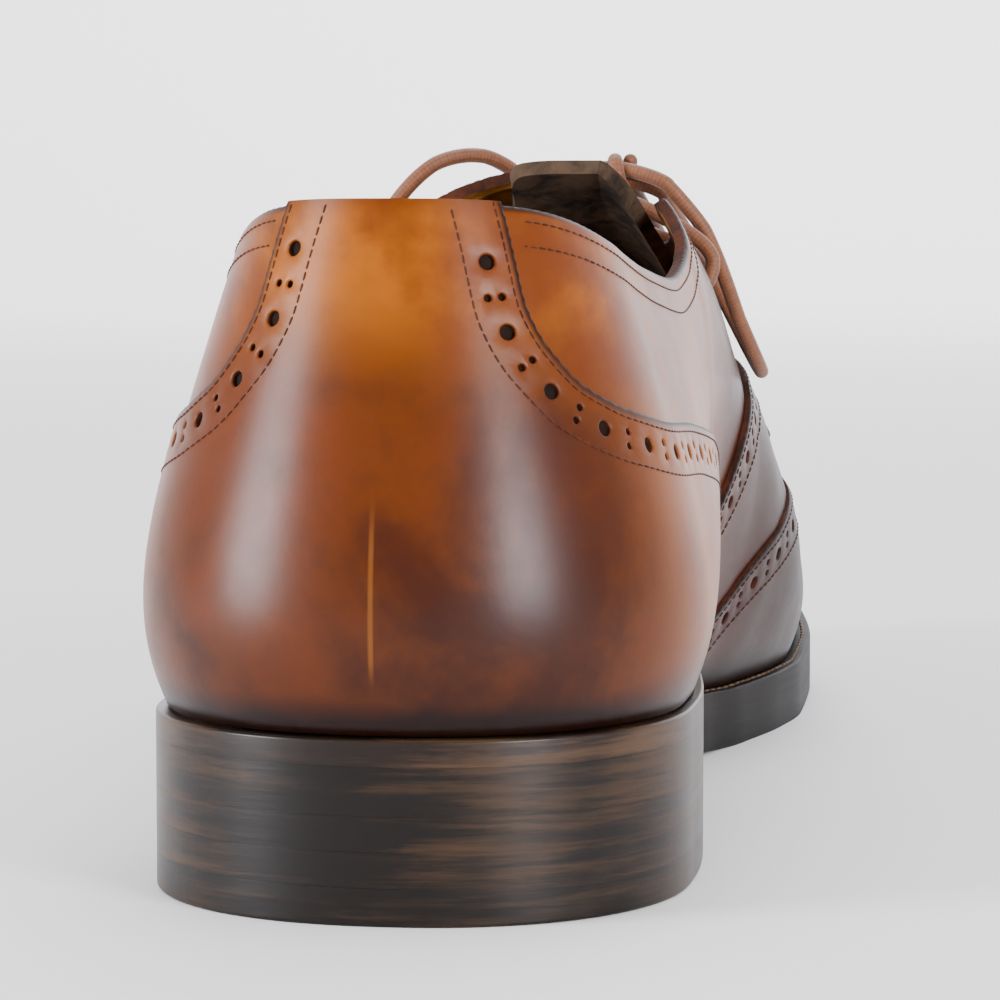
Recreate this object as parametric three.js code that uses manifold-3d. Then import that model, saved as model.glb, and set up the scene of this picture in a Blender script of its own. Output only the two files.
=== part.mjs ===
// A left brogue shoe, an oxford with a wing toe cap, standing empty on its sole.
// Millimetres, +Z up, toe towards +Y, the wearer's right (the inner side of a left shoe) towards +X.
// The origin is on the floor, below the middle of the shoe's box.
//
// Everything of leather follows one surface, the outside of the last with the upper on it.
// A point of it is named by its side, by the place along the shoe where its wall starts at the
// sole (foot, in mm from the back of the sole) and by how far up the wall it lies (rise, 0 to 1).

import * as THREE from "three";
import { mergeVertices } from "three/addons/utils/BufferGeometryUtils.js";
import Module from "manifold-3d";

const wasm = await Module();
wasm.setup();

// Driving sizes
const SOLE_LENGTH = 304;
const BALL_WIDTH = 100;
const HEEL_WIDTH = 72.5;
const HEEL_LENGTH = 73;
const TOP_PIECE_THICKNESS = 5;
const HEEL_LIFT_THICKNESS = 4.6;
const HEEL_LIFT_COUNT = 2;
const OUTSOLE_THICKNESS = 6;
const WELT_THICKNESS = 3.5;
const TOE_SPRING = 11;
const INSTEP_HEIGHT = 95; // floor to the top of the facings
const BACK_HEIGHT = 92; // floor to the top of the back
const WALL = 2; // lining and outer leather together
const OVERLAY_THICKNESS = 1.2; // counter, vamp and wing cap
const INSOLE_THICKNESS = 2.6;
const INSOLE_GAP = 0.9; // between its edge and the inside of the wall
const TONGUE_THICKNESS = 2.2;
const LACE_DIAMETER = 2.4;
const KNOT_DIAMETER = 4.6;
const LACE_LIFT = 0.95; // its bars over the facings
const EYELET_ROWS = 5;
const FIRST_EYELET_AT = 0.455; // the top pair, share of SOLE_LENGTH
const EYELET_PITCH_SHARE = 0.034;
const CLEARANCE = 0.3; // between pieces that touch along a curve

// Smaller sizes of the last and of its edges
const HEEL_ROUND = 37; // length of the rounded back of the sole
const TOE_ROUND = 74; // length of the rounded toe of the sole
const HEEL_ROUND_POWER = 2.2;
const TOE_ROUND_POWER = 2.15;
const TOE_SWING = -2; // how far the toe's tip lies to the inner side
const CREST_SHIFT = 12; // how far the instep's ridge lies to the inner side
const CONE_HALF_WIDTH = 13.5; // the last's own top, above the collar
const BACK_LEAN = 15; // how far the cone's back lies in front of the heel
const TOE_BOX_DEPTH = 36; // from the tip back to where the toe's top starts to round
const HEEL_EDGE = 2.4; // the sole's edge outside the upper, at the back
const TOE_EDGE = 4.4; // the same at the toe and round the forepart
const EDGE_CHAMFER = 0.8;
const WELT_TUCK = 5; // how far the welt reaches in under the upper
const BULGE = 3.8; // how far the heel's wall stands out past its foot
const THROAT_AT = 0.63; // bottom of the lacing, share of SOLE_LENGTH
const THROAT_HALF_GAP = 4; // between the facings and the middle, at the top
const THROAT_END_GAP = 1.6;
const EYELET_INSET = 9; // from a facing's edge to its eyelets, along the wall
const TONGUE_HALF_WIDTH = 21;
const TONGUE_GAP = 1.6; // under the facings
const TONGUE_TOP_AT = 0.372; // its top edge, share of SOLE_LENGTH
const TONGUE_END_AT = 0.66; // its hidden end, sewn in under the vamp
const TONGUE_TAPER = 30; // the length over which its top narrows
const TONGUE_TOP_SHARE = 0.5; // how much of its width is left at the top edge
const OVERLAY_GAP = 0.3; // between the vamp and the wing cap
const SNAP = 0.4; // an edge this near to a corner of the net goes through it

const heelStack = TOP_PIECE_THICKNESS + HEEL_LIFT_COUNT * HEEL_LIFT_THICKNESS;
const seam = CLEARANCE;
const footStart = HEEL_EDGE;
const footEnd = SOLE_LENGTH - TOE_EDGE;
const INNER = 1;
const OUTER = -1;

// The sole's plan. forepart says how far the ball's width rules over the heel's, and
// inner and outer are the half widths as shares of the width that rules.
const SOLE_PLAN = [
  { at: 0.0, forepart: 0, inner: 0.49, outer: 0.49 },
  { at: 0.14, forepart: 0, inner: 0.5, outer: 0.5 },
  { at: 0.25, forepart: 0, inner: 0.455, outer: 0.48 },
  { at: 0.345, forepart: 0.3, inner: 0.31, outer: 0.42 },
  { at: 0.445, forepart: 0.7, inner: 0.245, outer: 0.4 },
  { at: 0.51, forepart: 0.9, inner: 0.265, outer: 0.455 },
  { at: 0.56, forepart: 1, inner: 0.3, outer: 0.53 },
  { at: 0.62, forepart: 1, inner: 0.342, outer: 0.607 },
  { at: 0.68, forepart: 1, inner: 0.363, outer: 0.637 },
  { at: 0.75, forepart: 1, inner: 0.36, outer: 0.61 },
  { at: 0.83, forepart: 1, inner: 0.343, outer: 0.535 },
  { at: 0.91, forepart: 1, inner: 0.325, outer: 0.465 },
  { at: 1.0, forepart: 1, inner: 0.32, outer: 0.42 },
];

// The underside's height, as shares of the heel stack and of the toe spring.
const SOLE_LINE = [
  { at: 0.0, heel: 1, spring: 0 },
  { at: 0.245, heel: 1, spring: 0 },
  { at: 0.3, heel: 0.9, spring: 0 },
  { at: 0.35, heel: 0.7, spring: 0 },
  { at: 0.4, heel: 0.44, spring: 0 },
  { at: 0.45, heel: 0.2, spring: 0 },
  { at: 0.5, heel: 0.05, spring: 0 },
  { at: 0.55, heel: 0, spring: 0 },
  { at: 0.67, heel: 0, spring: 0 },
  { at: 0.74, heel: 0, spring: 0.07 },
  { at: 0.82, heel: 0, spring: 0.25 },
  { at: 0.9, heel: 0, spring: 0.55 },
  { at: 1.0, heel: 0, spring: 1 },
];

// The crest, the line along the top of the last: height is a share of INSTEP_HEIGHT, shift of
// CREST_SHIFT and cone of CONE_HALF_WIDTH.
const CREST = [
  { at: 0.0, height: 1.18, shift: 0, cone: 1 },
  { at: 0.2, height: 1.18, shift: 0, cone: 1 },
  { at: 0.3, height: 1.14, shift: 0.5, cone: 0.7 },
  { at: 0.36, height: 1.075, shift: 0.85, cone: 0.26 },
  { at: 0.42, height: 1.0, shift: 0.98, cone: 0 },
  { at: 0.46, height: 0.938, shift: 1, cone: 0 },
  { at: 0.51, height: 0.864, shift: 1, cone: 0 },
  { at: 0.56, height: 0.79, shift: 1, cone: 0 },
  { at: 0.61, height: 0.715, shift: 0.95, cone: 0 },
  { at: 0.66, height: 0.645, shift: 0.85, cone: 0 },
  { at: 0.71, height: 0.585, shift: 0.68, cone: 0 },
  { at: 0.76, height: 0.54, shift: 0.5, cone: 0 },
  { at: 0.81, height: 0.5, shift: 0.32, cone: 0 },
  { at: 0.865, height: 0.463, shift: 0.15, cone: 0 },
  { at: 0.93, height: 0.43, shift: 0, cone: 0 },
  { at: 1.0, height: 0.4, shift: -0.1, cone: 0 },
];

// The wall's section. round and flat are powers, boxier under 1. inner and outer are how far it
// stands out past its foot, as shares of BULGE; peak is where it does so most, as a share of its
// height, and spread how narrowly.
const SECTION = [
  { at: 0.0, round: 1.62, flat: 1, inner: 1, outer: 1, peak: 0.2, spread: 5.5 },
  { at: 0.12, round: 1.62, flat: 1, inner: 1, outer: 1, peak: 0.2, spread: 5.5 },
  { at: 0.25, round: 1.2, flat: 1, inner: 1.25, outer: 0.82, peak: 0.33, spread: 3.6 },
  { at: 0.36, round: 0.8, flat: 1, inner: 2.8, outer: 0.8, peak: 0.58, spread: 2.1 },
  { at: 0.45, round: 0.62, flat: 1, inner: 3.5, outer: 0.85, peak: 0.64, spread: 1.8 },
  { at: 0.52, round: 0.62, flat: 0.98, inner: 3.1, outer: 0.85, peak: 0.57, spread: 2 },
  { at: 0.59, round: 0.7, flat: 0.95, inner: 2.3, outer: 0.8, peak: 0.44, spread: 2.8 },
  { at: 0.67, round: 0.8, flat: 0.91, inner: 1.0, outer: 0.7, peak: 0.3, spread: 4 },
  { at: 0.76, round: 0.88, flat: 0.85, inner: 0.5, outer: 0.5, peak: 0.3, spread: 4 },
  { at: 0.88, round: 0.88, flat: 0.8, inner: 0.42, outer: 0.42, peak: 0.3, spread: 4 },
  { at: 1.0, round: 0.87, flat: 0.76, inner: 0.4, outer: 0.4, peak: 0.3, spread: 4 },
];

// The top edge of the quarters, as shares of BACK_HEIGHT.
const TOPLINE = [
  { at: 0.0, inner: 1.0, outer: 1.0 },
  { at: 0.03, inner: 0.998, outer: 0.998 },
  { at: 0.06, inner: 0.988, outer: 0.988 },
  { at: 0.12, inner: 0.94, outer: 0.93 },
  { at: 0.19, inner: 0.895, outer: 0.875 },
  { at: 0.26, inner: 0.875, outer: 0.85 },
  { at: 0.32, inner: 0.895, outer: 0.875 },
  { at: 0.37, inner: 0.96, outer: 0.95 },
  { at: 0.41, inner: 1.06, outer: 1.055 },
  { at: 0.45, inner: 1.2, outer: 1.2 },
];

// The counter's upper edge. rise is the share of the wall's height, and at the share of
// SOLE_LENGTH at the wall's foot.
const COUNTER_EDGE = [
  { at: 0.0, rise: 1.6 },
  { at: 0.02, rise: 1.3 },
  { at: 0.0265, rise: 0.94 },
  { at: 0.029, rise: 0.76 },
  { at: 0.035, rise: 0.675 },
  { at: 0.0475, rise: 0.605 },
  { at: 0.07, rise: 0.572 },
  { at: 0.1, rise: 0.565 },
  { at: 0.17, rise: 0.585 },
  { at: 0.23, rise: 0.575 },
  { at: 0.28, rise: 0.5 },
  { at: 0.32, rise: 0.36 },
  { at: 0.345, rise: 0.2 },
  { at: 0.36, rise: -0.05 },
];

// The back edges of the vamp and of the wing cap.
const VAMP_EDGE = [
  { rise: 0.0, at: 0.385 },
  { rise: 0.2, at: 0.41 },
  { rise: 0.4, at: 0.465 },
  { rise: 0.6, at: 0.54 },
  { rise: 0.8, at: 0.612 },
  { rise: 0.92, at: 0.637 },
  { rise: 1.0, at: 0.645 },
];
const WING_EDGE = [
  { rise: 0.0, at: 0.44 },
  { rise: 0.15, at: 0.5 },
  { rise: 0.35, at: 0.6 },
  { rise: 0.55, at: 0.685 },
  { rise: 0.72, at: 0.735 },
  { rise: 0.82, at: 0.745 },
  { rise: 0.91, at: 0.725 },
  { rise: 1.0, at: 0.695 },
];

// The bow, by points over the surface: lift is a point's distance from it, t its place from the
// sole (0) to the crest (1).
const BOW = {
  knot: [
    { side: INNER, at: 0.447, t: 1, lift: 6.4 },
    { side: INNER, at: 0.457, t: 1, lift: 6.6 },
    { side: INNER, at: 0.467, t: 1, lift: 6.4 },
  ],
  outer_loop: [
    { side: OUTER, at: 0.453, t: 0.9, lift: 7.2 },
    { side: OUTER, at: 0.435, t: 0.86, lift: 8.2 },
    { side: OUTER, at: 0.42, t: 0.78, lift: 8 },
    { side: OUTER, at: 0.42, t: 0.66, lift: 6 },
    { side: OUTER, at: 0.44, t: 0.54, lift: 3.6 },
    { side: OUTER, at: 0.475, t: 0.46, lift: 3.7 },
    { side: OUTER, at: 0.505, t: 0.5, lift: 3.7 },
    { side: OUTER, at: 0.51, t: 0.62, lift: 3.8 },
    { side: OUTER, at: 0.49, t: 0.78, lift: 5.2 },
    { side: OUTER, at: 0.465, t: 0.9, lift: 6.6 },
  ],
  inner_loop: [
    { side: INNER, at: 0.453, t: 0.88, lift: 6 },
    { side: INNER, at: 0.465, t: 0.76, lift: 4.6 },
    { side: INNER, at: 0.495, t: 0.6, lift: 2.8 },
    { side: INNER, at: 0.53, t: 0.52, lift: 3.5 },
    { side: INNER, at: 0.55, t: 0.6, lift: 3.7 },
    { side: INNER, at: 0.535, t: 0.74, lift: 4.9 },
    { side: INNER, at: 0.5, t: 0.84, lift: 5.7 },
    { side: INNER, at: 0.468, t: 0.9, lift: 6.2 },
  ],
  outer_end: [
    { side: OUTER, at: 0.478, t: 0.96, lift: 6.2 },
    { side: OUTER, at: 0.515, t: 0.9, lift: 5.8 },
    { side: OUTER, at: 0.56, t: 0.82, lift: 5.6 },
    { side: OUTER, at: 0.6, t: 0.66, lift: 3.7 },
    { side: OUTER, at: 0.625, t: 0.5, lift: 3.3 },
    { side: OUTER, at: 0.635, t: 0.38, lift: 3.4 },
  ],
  inner_end: [
    { side: INNER, at: 0.478, t: 0.97, lift: 6.2 },
    { side: INNER, at: 0.52, t: 0.94, lift: 6 },
    { side: INNER, at: 0.57, t: 0.9, lift: 5.8 },
    { side: INNER, at: 0.615, t: 0.76, lift: 4.1 },
    { side: INNER, at: 0.645, t: 0.62, lift: 3.3 },
    { side: INNER, at: 0.66, t: 0.5, lift: 3.4 },
  ],
};

// A smooth line through a table's rows that never swings past them (monotone cubic).
function through(rows, key, column) {
  const at = rows.map((row) => row[key]);
  const value = rows.map((row) => row[column]);
  const last = rows.length - 1;
  const rate = at.slice(1).map((x, i) => (value[i + 1] - value[i]) / (x - at[i]));
  const slope = at.map((x, i) => {
    if (i === 0 || i === last || rate[i - 1] * rate[i] <= 0) return 0;
    return (2 * rate[i - 1] * rate[i]) / (rate[i - 1] + rate[i]);
  });
  slope[0] = rate[0];
  slope[last] = rate[last - 1];
  return (x) => {
    if (x <= at[0]) return value[0];
    if (x >= at[last]) return value[last];
    const i = at.findIndex((edge) => x < edge) - 1;
    const width = at[i + 1] - at[i];
    const t = (x - at[i]) / width;
    const rest = 1 - t;
    const start = value[i] * (1 + 2 * t) * rest * rest + slope[i] * width * t * rest * rest;
    const end = value[i + 1] * (3 - 2 * t) * t * t - slope[i + 1] * width * t * t * rest;
    return start + end;
  };
}

const plan = {
  forepart: through(SOLE_PLAN, "at", "forepart"),
  [INNER]: through(SOLE_PLAN, "at", "inner"),
  [OUTER]: through(SOLE_PLAN, "at", "outer"),
};
const soleLine = {
  heel: through(SOLE_LINE, "at", "heel"),
  spring: through(SOLE_LINE, "at", "spring"),
};
const columns = (rows) => Object.fromEntries(Object.keys(rows[0]).map((column) => [column, through(rows, "at", column)]));
const crest = columns(CREST);
const section = columns(SECTION);
const topline = {
  [INNER]: through(TOPLINE, "at", "inner"),
  [OUTER]: through(TOPLINE, "at", "outer"),
};
const counterEdge = through(COUNTER_EDGE, "at", "rise");
const vampEdge = through(VAMP_EDGE, "rise", "at");
const wingEdge = through(WING_EDGE, "rise", "at");

const clamp = THREE.MathUtils.clamp;
const smooth = (x, from, to) => THREE.MathUtils.smoothstep(x, from, to);

// Plan of the sole

// How much of the full width is left at y, where the heel or the toe is rounded.
function endRounding(y) {
  const back = clamp((HEEL_ROUND - y) / HEEL_ROUND, 0, 1);
  const front = clamp((y - SOLE_LENGTH + TOE_ROUND) / TOE_ROUND, 0, 1);
  const heel = Math.pow(1 - Math.pow(back, HEEL_ROUND_POWER), 1 / HEEL_ROUND_POWER);
  const toe = Math.pow(1 - Math.pow(front, TOE_ROUND_POWER), 1 / TOE_ROUND_POWER);
  return heel * toe;
}

const middleX = (y) => TOE_SWING * smooth(y, 0.55 * SOLE_LENGTH, SOLE_LENGTH);

// The sole's half width from x = 0 before its ends are rounded.
function fullWidth(side, y) {
  const at = y / SOLE_LENGTH;
  const rules = THREE.MathUtils.lerp(HEEL_WIDTH, BALL_WIDTH, plan.forepart(at));
  return side * plan[side](at) * rules;
}

// The sole's edge, drawn in by inset: a point of the plan for a place along the shorter line.
function edgeX(side, y, inset) {
  const middle = middleX(y);
  const half = fullWidth(side, y) - middle;
  return middle + (half - side * inset) * endRounding(y);
}

// From a length along an inset outline, which starts at start and stops at end, to the sole's own.
const toSole = (y, start, end) => ((y - start) / (end - start)) * SOLE_LENGTH;

const underside = (y) => {
  const at = clamp(y / SOLE_LENGTH, 0, 1);
  return heelStack * soleLine.heel(at) + TOE_SPRING * soleLine.spring(at);
};
const outsoleTop = (y) => underside(y) + OUTSOLE_THICKNESS;
const weltTop = (y) => outsoleTop(y) + seam + WELT_THICKNESS;
const footHeight = (y) => weltTop(y) + seam;

// The surface of the upper

// How far the wall's foot lies in from the sole's edge.
const footInset = (y) => THREE.MathUtils.lerp(HEEL_EDGE, TOE_EDGE, smooth(y, 0.3 * SOLE_LENGTH, 0.55 * SOLE_LENGTH));

// One wall, from its foot at the sole to the crest: the numbers that its points follow.
function wallAt(side, foot) {
  const soleY = toSole(foot, footStart, footEnd);
  const lean = BACK_LEAN * (1 - smooth(foot, 0, 0.22 * SOLE_LENGTH));
  const toeBack = TOE_BOX_DEPTH * Math.pow(clamp((foot - 0.7 * SOLE_LENGTH) / (footEnd - 0.7 * SOLE_LENGTH), 0, 1), 1.6);
  const topY = foot + lean - toeBack;
  const at = topY / SOLE_LENGTH;
  const footAt = foot / SOLE_LENGTH;
  const round = endRounding(soleY);
  const footX = edgeX(side, soleY, footInset(foot));
  const step = 0.5;
  const before = clamp(soleY - step, 0, SOLE_LENGTH);
  const after = clamp(soleY + step, 0, SOLE_LENGTH);
  const slopeX = edgeX(side, after, 0) - edgeX(side, before, 0);
  const out = new THREE.Vector2(side * (after - before), -side * slopeX).normalize();
  if (foot <= footStart) out.set(0, -1);
  if (foot >= footEnd) out.set(0, 1);
  return {
    side,
    foot,
    footX,
    footZ: footHeight(foot),
    topX: crest.shift(at) * CREST_SHIFT + side * crest.cone(at) * CONE_HALF_WIDTH * round,
    topY,
    bulge: BULGE * (side === INNER ? section.inner : section.outer)(footAt),
    peak: section.peak(footAt),
    spread: section.spread(footAt),
    round: section.round(footAt),
    flat: section.flat(footAt),
    out,
  };
}

// A point of a wall, t from 0 at its foot to 1 at the crest.
function wallPoint(wall, t) {
  const turn = (t * Math.PI) / 2;
  const across = 1 - Math.pow(Math.max(Math.cos(turn), 0), wall.round);
  const up = Math.pow(Math.sin(turn), wall.flat);
  const swellAt = (u) => Math.pow(u, wall.peak * wall.spread) * Math.pow(1 - u, (1 - wall.peak) * wall.spread);
  const swell = (wall.bulge * swellAt(Math.min(up, 1))) / swellAt(wall.peak);
  const x = wall.footX + (wall.topX - wall.footX) * across + swell * wall.out.x;
  const y = wall.foot + (wall.topY - wall.foot) * across + swell * wall.out.y;
  const crestZ = INSTEP_HEIGHT * crest.height(y / SOLE_LENGTH);
  return new THREE.Vector3(x, y, wall.footZ + (crestZ - wall.footZ) * up);
}

// The t at which a wall reaches the top edge of the quarters, or the facing's edge, or the crest.
function wallEnd(wall) {
  const { side, foot } = wall;
  if (foot >= THROAT_AT * SOLE_LENGTH) return 1;
  const edge = topline[foot <= footStart ? INNER : side];
  const collar = (t) => {
    const p = wallPoint(wall, t);
    return p.z - BACK_HEIGHT * edge(p.y / SOLE_LENGTH);
  };
  let low = 0.2;
  let high = 1;
  if (collar(high) <= 0) low = 1;
  for (let i = 0; i < 40 && low < high; i += 1) {
    const middle = (low + high) / 2;
    if (collar(middle) > 0) high = middle;
    else low = middle;
  }
  if (foot < 0.3 * SOLE_LENGTH) return high;
  const throat = THROAT_AT * SOLE_LENGTH;
  const opened = clamp((throat - foot) / (throat - 0.42 * SOLE_LENGTH), 0, 1);
  const gap = THREE.MathUtils.lerp(THROAT_END_GAP, THROAT_HALF_GAP, opened) * Math.min(1, Math.sqrt(opened * 12));
  const share = clamp(gap / Math.abs(wall.footX - wall.topX), 0, 1);
  const facing = (2 / Math.PI) * Math.acos(Math.pow(share, 1 / wall.round));
  return Math.min(high, facing);
}

// The surface moved outwards by offset. rise runs from 0 at the sole to 1 at the wall's end.
function surface(side, foot, rise, offset = 0) {
  const wall = wallAt(side, foot);
  return onWall(side, foot, rise * wallEnd(wall), offset);
}

// The same, with t measured to the crest and not to the wall's end.
function onWall(side, foot, t, offset = 0) {
  const wall = wallAt(side, foot);
  const point = wallPoint(wall, t);
  if (offset === 0) return point;
  const step = 0.01;
  const up = wallPoint(wall, Math.min(t + step, 1)).sub(wallPoint(wall, Math.max(t - step, 0)));
  const length = 0.6;
  const ahead = Math.min(foot + length, footEnd);
  const behind = Math.max(foot - length, footStart);
  const along = wallPoint(wallAt(side, ahead), t).sub(wallPoint(wallAt(side, behind), t));
  let normal = along.clone().cross(up).multiplyScalar(side);
  if (t >= 1) normal = new THREE.Vector3(0, -along.z, along.y);
  if (foot <= footStart) normal = new THREE.Vector3(0, -up.z, up.y);
  if (foot >= footEnd) normal = new THREE.Vector3(0, up.z, -up.y);
  if (t <= 0) normal.setZ(0);
  return point.addScaledVector(normal.normalize(), offset);
}

// The t that lies a length down the wall from another.
function downWall(side, foot, from, length) {
  const wall = wallAt(side, foot);
  const step = 0.004;
  let t = from;
  for (let gone = 0; gone < length && t > 2 * step; t -= step) {
    gone += wallPoint(wall, t).distanceTo(wallPoint(wall, t - step));
  }
  return t;
}

// Meshes

// A geometry from triangles given as corner points, with shared points merged.
function fromTriangles(triangles) {
  const positions = new Float32Array(triangles.flatMap((corners) => corners.flatMap((p) => p.toArray())));
  const geometry = new THREE.BufferGeometry();
  geometry.setAttribute("position", new THREE.BufferAttribute(positions, 3));
  const merged = mergeVertices(geometry, 1e-3);
  const kept = [];
  for (let i = 0; i < merged.index.count; i += 3) {
    const [a, b, c] = [0, 1, 2].map((k) => merged.index.getX(i + k));
    if (a !== b && b !== c && c !== a) kept.push(a, b, c);
  }
  merged.setIndex(kept);
  merged.computeVertexNormals();
  return merged;
}

// Two triangles for each quad of a grid of points, turned round where flip is set.
function gridTriangles(grid, flip = false) {
  const triangles = [];
  for (let i = 0; i + 1 < grid.length; i += 1) {
    for (let j = 0; j + 1 < grid[i].length; j += 1) {
      const [a, b, c, d] = [grid[i][j], grid[i + 1][j], grid[i + 1][j + 1], grid[i][j + 1]];
      if (flip) triangles.push([a, c, b], [a, d, c]);
      else triangles.push([a, b, c], [a, c, d]);
    }
  }
  return triangles;
}

// A piece of leather from patches of the surface, each a ring of {low, high} corners seen from
// outside. Where a patch's edge meets no other patch, the piece gets its own edge there.
function leather(patches) {
  const triangles = [];
  const border = new Map();
  const name = (corner) => corner.high.toArray().map((n) => Math.round(n * 1000) + 0).join();
  for (const patch of patches) {
    for (let i = 1; i + 1 < patch.length; i += 1) {
      triangles.push([patch[0].high, patch[i].high, patch[i + 1].high]);
      triangles.push([patch[0].low, patch[i + 1].low, patch[i].low]);
    }
    patch.forEach((from, i) => {
      const to = patch[(i + 1) % patch.length];
      const [start, end] = [name(from), name(to)];
      if (border.has(`${end}|${start}`)) border.delete(`${end}|${start}`);
      else if (start !== end) border.set(`${start}|${end}`, [from, to]);
    });
  }
  for (const [from, to] of border.values()) {
    triangles.push([from.high, from.low, to.low], [from.high, to.low, to.high]);
  }
  return fromTriangles(triangles);
}

// The part of a patch where distance(foot, rise) isn't below zero.
function clipped(patch, distance) {
  const away = (corner) => {
    const d = distance(corner.foot, corner.rise);
    return Math.abs(d) < SNAP ? 0 : d;
  };
  const kept = [];
  patch.forEach((from, i) => {
    const to = patch[(i + 1) % patch.length];
    if (away(from) >= 0) kept.push(from);
    if (away(from) * away(to) >= 0) return;
    const inOrder = from.foot < to.foot || (from.foot === to.foot && from.rise < to.rise);
    const [a, b] = inOrder ? [from, to] : [to, from];
    const between = (key, share) => THREE.MathUtils.lerp(a[key], b[key], share);
    let [low, high] = [0, 1];
    for (let step = 0; step < 30; step += 1) {
      const middle = (low + high) / 2;
      if (distance(between("foot", middle), between("rise", middle)) * away(a) > 0) low = middle;
      else high = middle;
    }
    const share = (low + high) / 2;
    kept.push({
      foot: between("foot", share),
      rise: between("rise", share),
      low: a.low.clone().lerp(b.low, share),
      high: a.high.clone().lerp(b.high, share),
    });
  });
  return kept;
}

// Patches of the upper's own net between two offsets, where every distance is above zero. All
// pieces of leather share this net, so their facets lie side by side and never cross.
function patchesBetween(low, high, distances) {
  const patches = [];
  for (const side of [INNER, OUTER]) {
    const corner = (rise, foot) => ({ foot, rise, low: surface(side, foot, rise, low), high: surface(side, foot, rise, high) });
    const net = netRises.map((rise) => netFeet.map((foot) => corner(rise, foot)));
    for (let i = 0; i + 1 < net.length; i += 1) {
      for (let j = 0; j + 1 < netFeet.length; j += 1) {
        const [a, b, c, d] = [net[i][j], net[i + 1][j], net[i + 1][j + 1], net[i][j + 1]];
        const halves = side === INNER ? [[a, c, b], [a, d, c]] : [[a, b, c], [a, c, d]];
        for (const half of halves) {
          const patch = distances.reduce(clipped, half);
          if (patch.length > 2) patches.push(patch);
        }
      }
    }
  }
  return patches;
}

// Shares from 0 to 1, crowded towards the ends that are named.
function crowded(count, { start = false, end = false } = {}) {
  return Array.from({ length: count + 1 }, (_, i) => {
    const x = i / count;
    if (start && end) return (1 - Math.cos(Math.PI * x)) / 2;
    if (start) return 1 - Math.cos((Math.PI / 2) * x);
    if (end) return Math.sin((Math.PI / 2) * x);
    return x;
  });
}

// Lengths along an outline from its back to its tip, crowded where the ends are rounded.
function stations(start, end, backSteps, middleSteps, toeSteps) {
  const back = start + HEEL_ROUND;
  const front = end - TOE_ROUND;
  const heel = crowded(backSteps, { start: true }).map((x) => start + x * HEEL_ROUND);
  const middle = crowded(middleSteps).map((x) => THREE.MathUtils.lerp(back, front, x));
  const toe = crowded(toeSteps, { end: true }).map((x) => front + x * TOE_ROUND);
  return [...heel, ...middle.slice(1), ...toe.slice(1)];
}

// The same lengths with the nearest one moved to y.
function snapped(lengths, y) {
  const gap = (x) => Math.abs(x - y);
  const nearest = lengths.reduce((best, x) => (gap(x) < gap(best) ? x : best));
  return lengths.map((x) => (x === nearest ? y : x));
}

// The closed outline of a flat piece: up the inner side and back along the outer one.
function outline(lengths, inset, heightAt, soleYAt = (y) => y) {
  const point = (side, y) => new THREE.Vector3(edgeX(side, soleYAt(y), inset(y)), y, heightAt(y));
  const inner = lengths.map((y) => point(INNER, y));
  const outer = lengths.map((y) => point(OUTER, y));
  return { inner, outer };
}

// A flat piece between rings, from the lowest ring to the highest, closed below and above.
function plateTriangles(rings) {
  const triangles = [];
  rings.slice(1).forEach((upper, i) => {
    const lower = rings[i];
    triangles.push(...gridTriangles([lower.inner, upper.inner], true));
    triangles.push(...gridTriangles([lower.outer, upper.outer], false));
    const end = lower.inner.length - 1;
    triangles.push(...gridTriangles([[lower.inner[end], lower.outer[end]], [upper.inner[end], upper.outer[end]]], true));
  });
  const bottom = rings[0];
  const top = rings[rings.length - 1];
  triangles.push(...gridTriangles([bottom.inner, bottom.outer], false));
  triangles.push(...gridTriangles([top.inner, top.outer], true));
  return triangles;
}

// A round cord along points, as a closed tube.
function cordGeometry(points, diameter, steps, sides = 8) {
  const section = new THREE.Shape(
    Array.from({ length: sides }, (_, i) => {
      const angle = (2 * Math.PI * i) / sides;
      return new THREE.Vector2(Math.cos(angle), Math.sin(angle)).multiplyScalar(diameter / 2);
    }),
  );
  const path = new THREE.CatmullRomCurve3(points);
  return new THREE.ExtrudeGeometry(section, { extrudePath: path, steps, curveSegments: 1 });
}

const asSolid = (geometry) => {
  const bare = geometry.index ? geometry.clone() : new THREE.BufferGeometry().setAttribute("position", geometry.getAttribute("position"));
  for (const name of Object.keys(bare.attributes)) if (name !== "position") bare.deleteAttribute(name);
  const merged = mergeVertices(bare, 1e-3);
  return new wasm.Manifold(
    new wasm.Mesh({ numProp: 3, vertProperties: new Float32Array(merged.attributes.position.array), triVerts: new Uint32Array(merged.index.array) }),
  );
};

const asGeometry = (solid) => {
  const mesh = solid.getMesh();
  const geometry = new THREE.BufferGeometry();
  geometry.setAttribute("position", new THREE.BufferAttribute(new Float32Array(mesh.vertProperties), 3));
  geometry.setIndex(new THREE.BufferAttribute(mesh.triVerts, 1));
  geometry.computeVertexNormals();
  return geometry;
};

// The bottom: top piece, lifts, outsole, welt and insole

function heelPiece(low, high) {
  const lengths = crowded(7, { start: true }).map((x) => x * HEEL_ROUND);
  const front = crowded(3).map((x) => THREE.MathUtils.lerp(HEEL_ROUND, HEEL_LENGTH, x));
  const all = [...lengths, ...front.slice(1)];
  const ring = (z) => outline(all, () => 0, () => z);
  return fromTriangles(plateTriangles([ring(low), ring(high)]));
}

function outsoleGeometry() {
  const lengths = snapped(stations(0, SOLE_LENGTH, 7, 17, 9), HEEL_LENGTH);
  const ring = (inset, lift) =>
    outline(lengths, () => inset, (y) => underside(y) + lift);
  const rings = [ring(EDGE_CHAMFER, 0), ring(0, EDGE_CHAMFER), ring(0, OUTSOLE_THICKNESS)];
  return fromTriangles(plateTriangles(rings));
}

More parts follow.
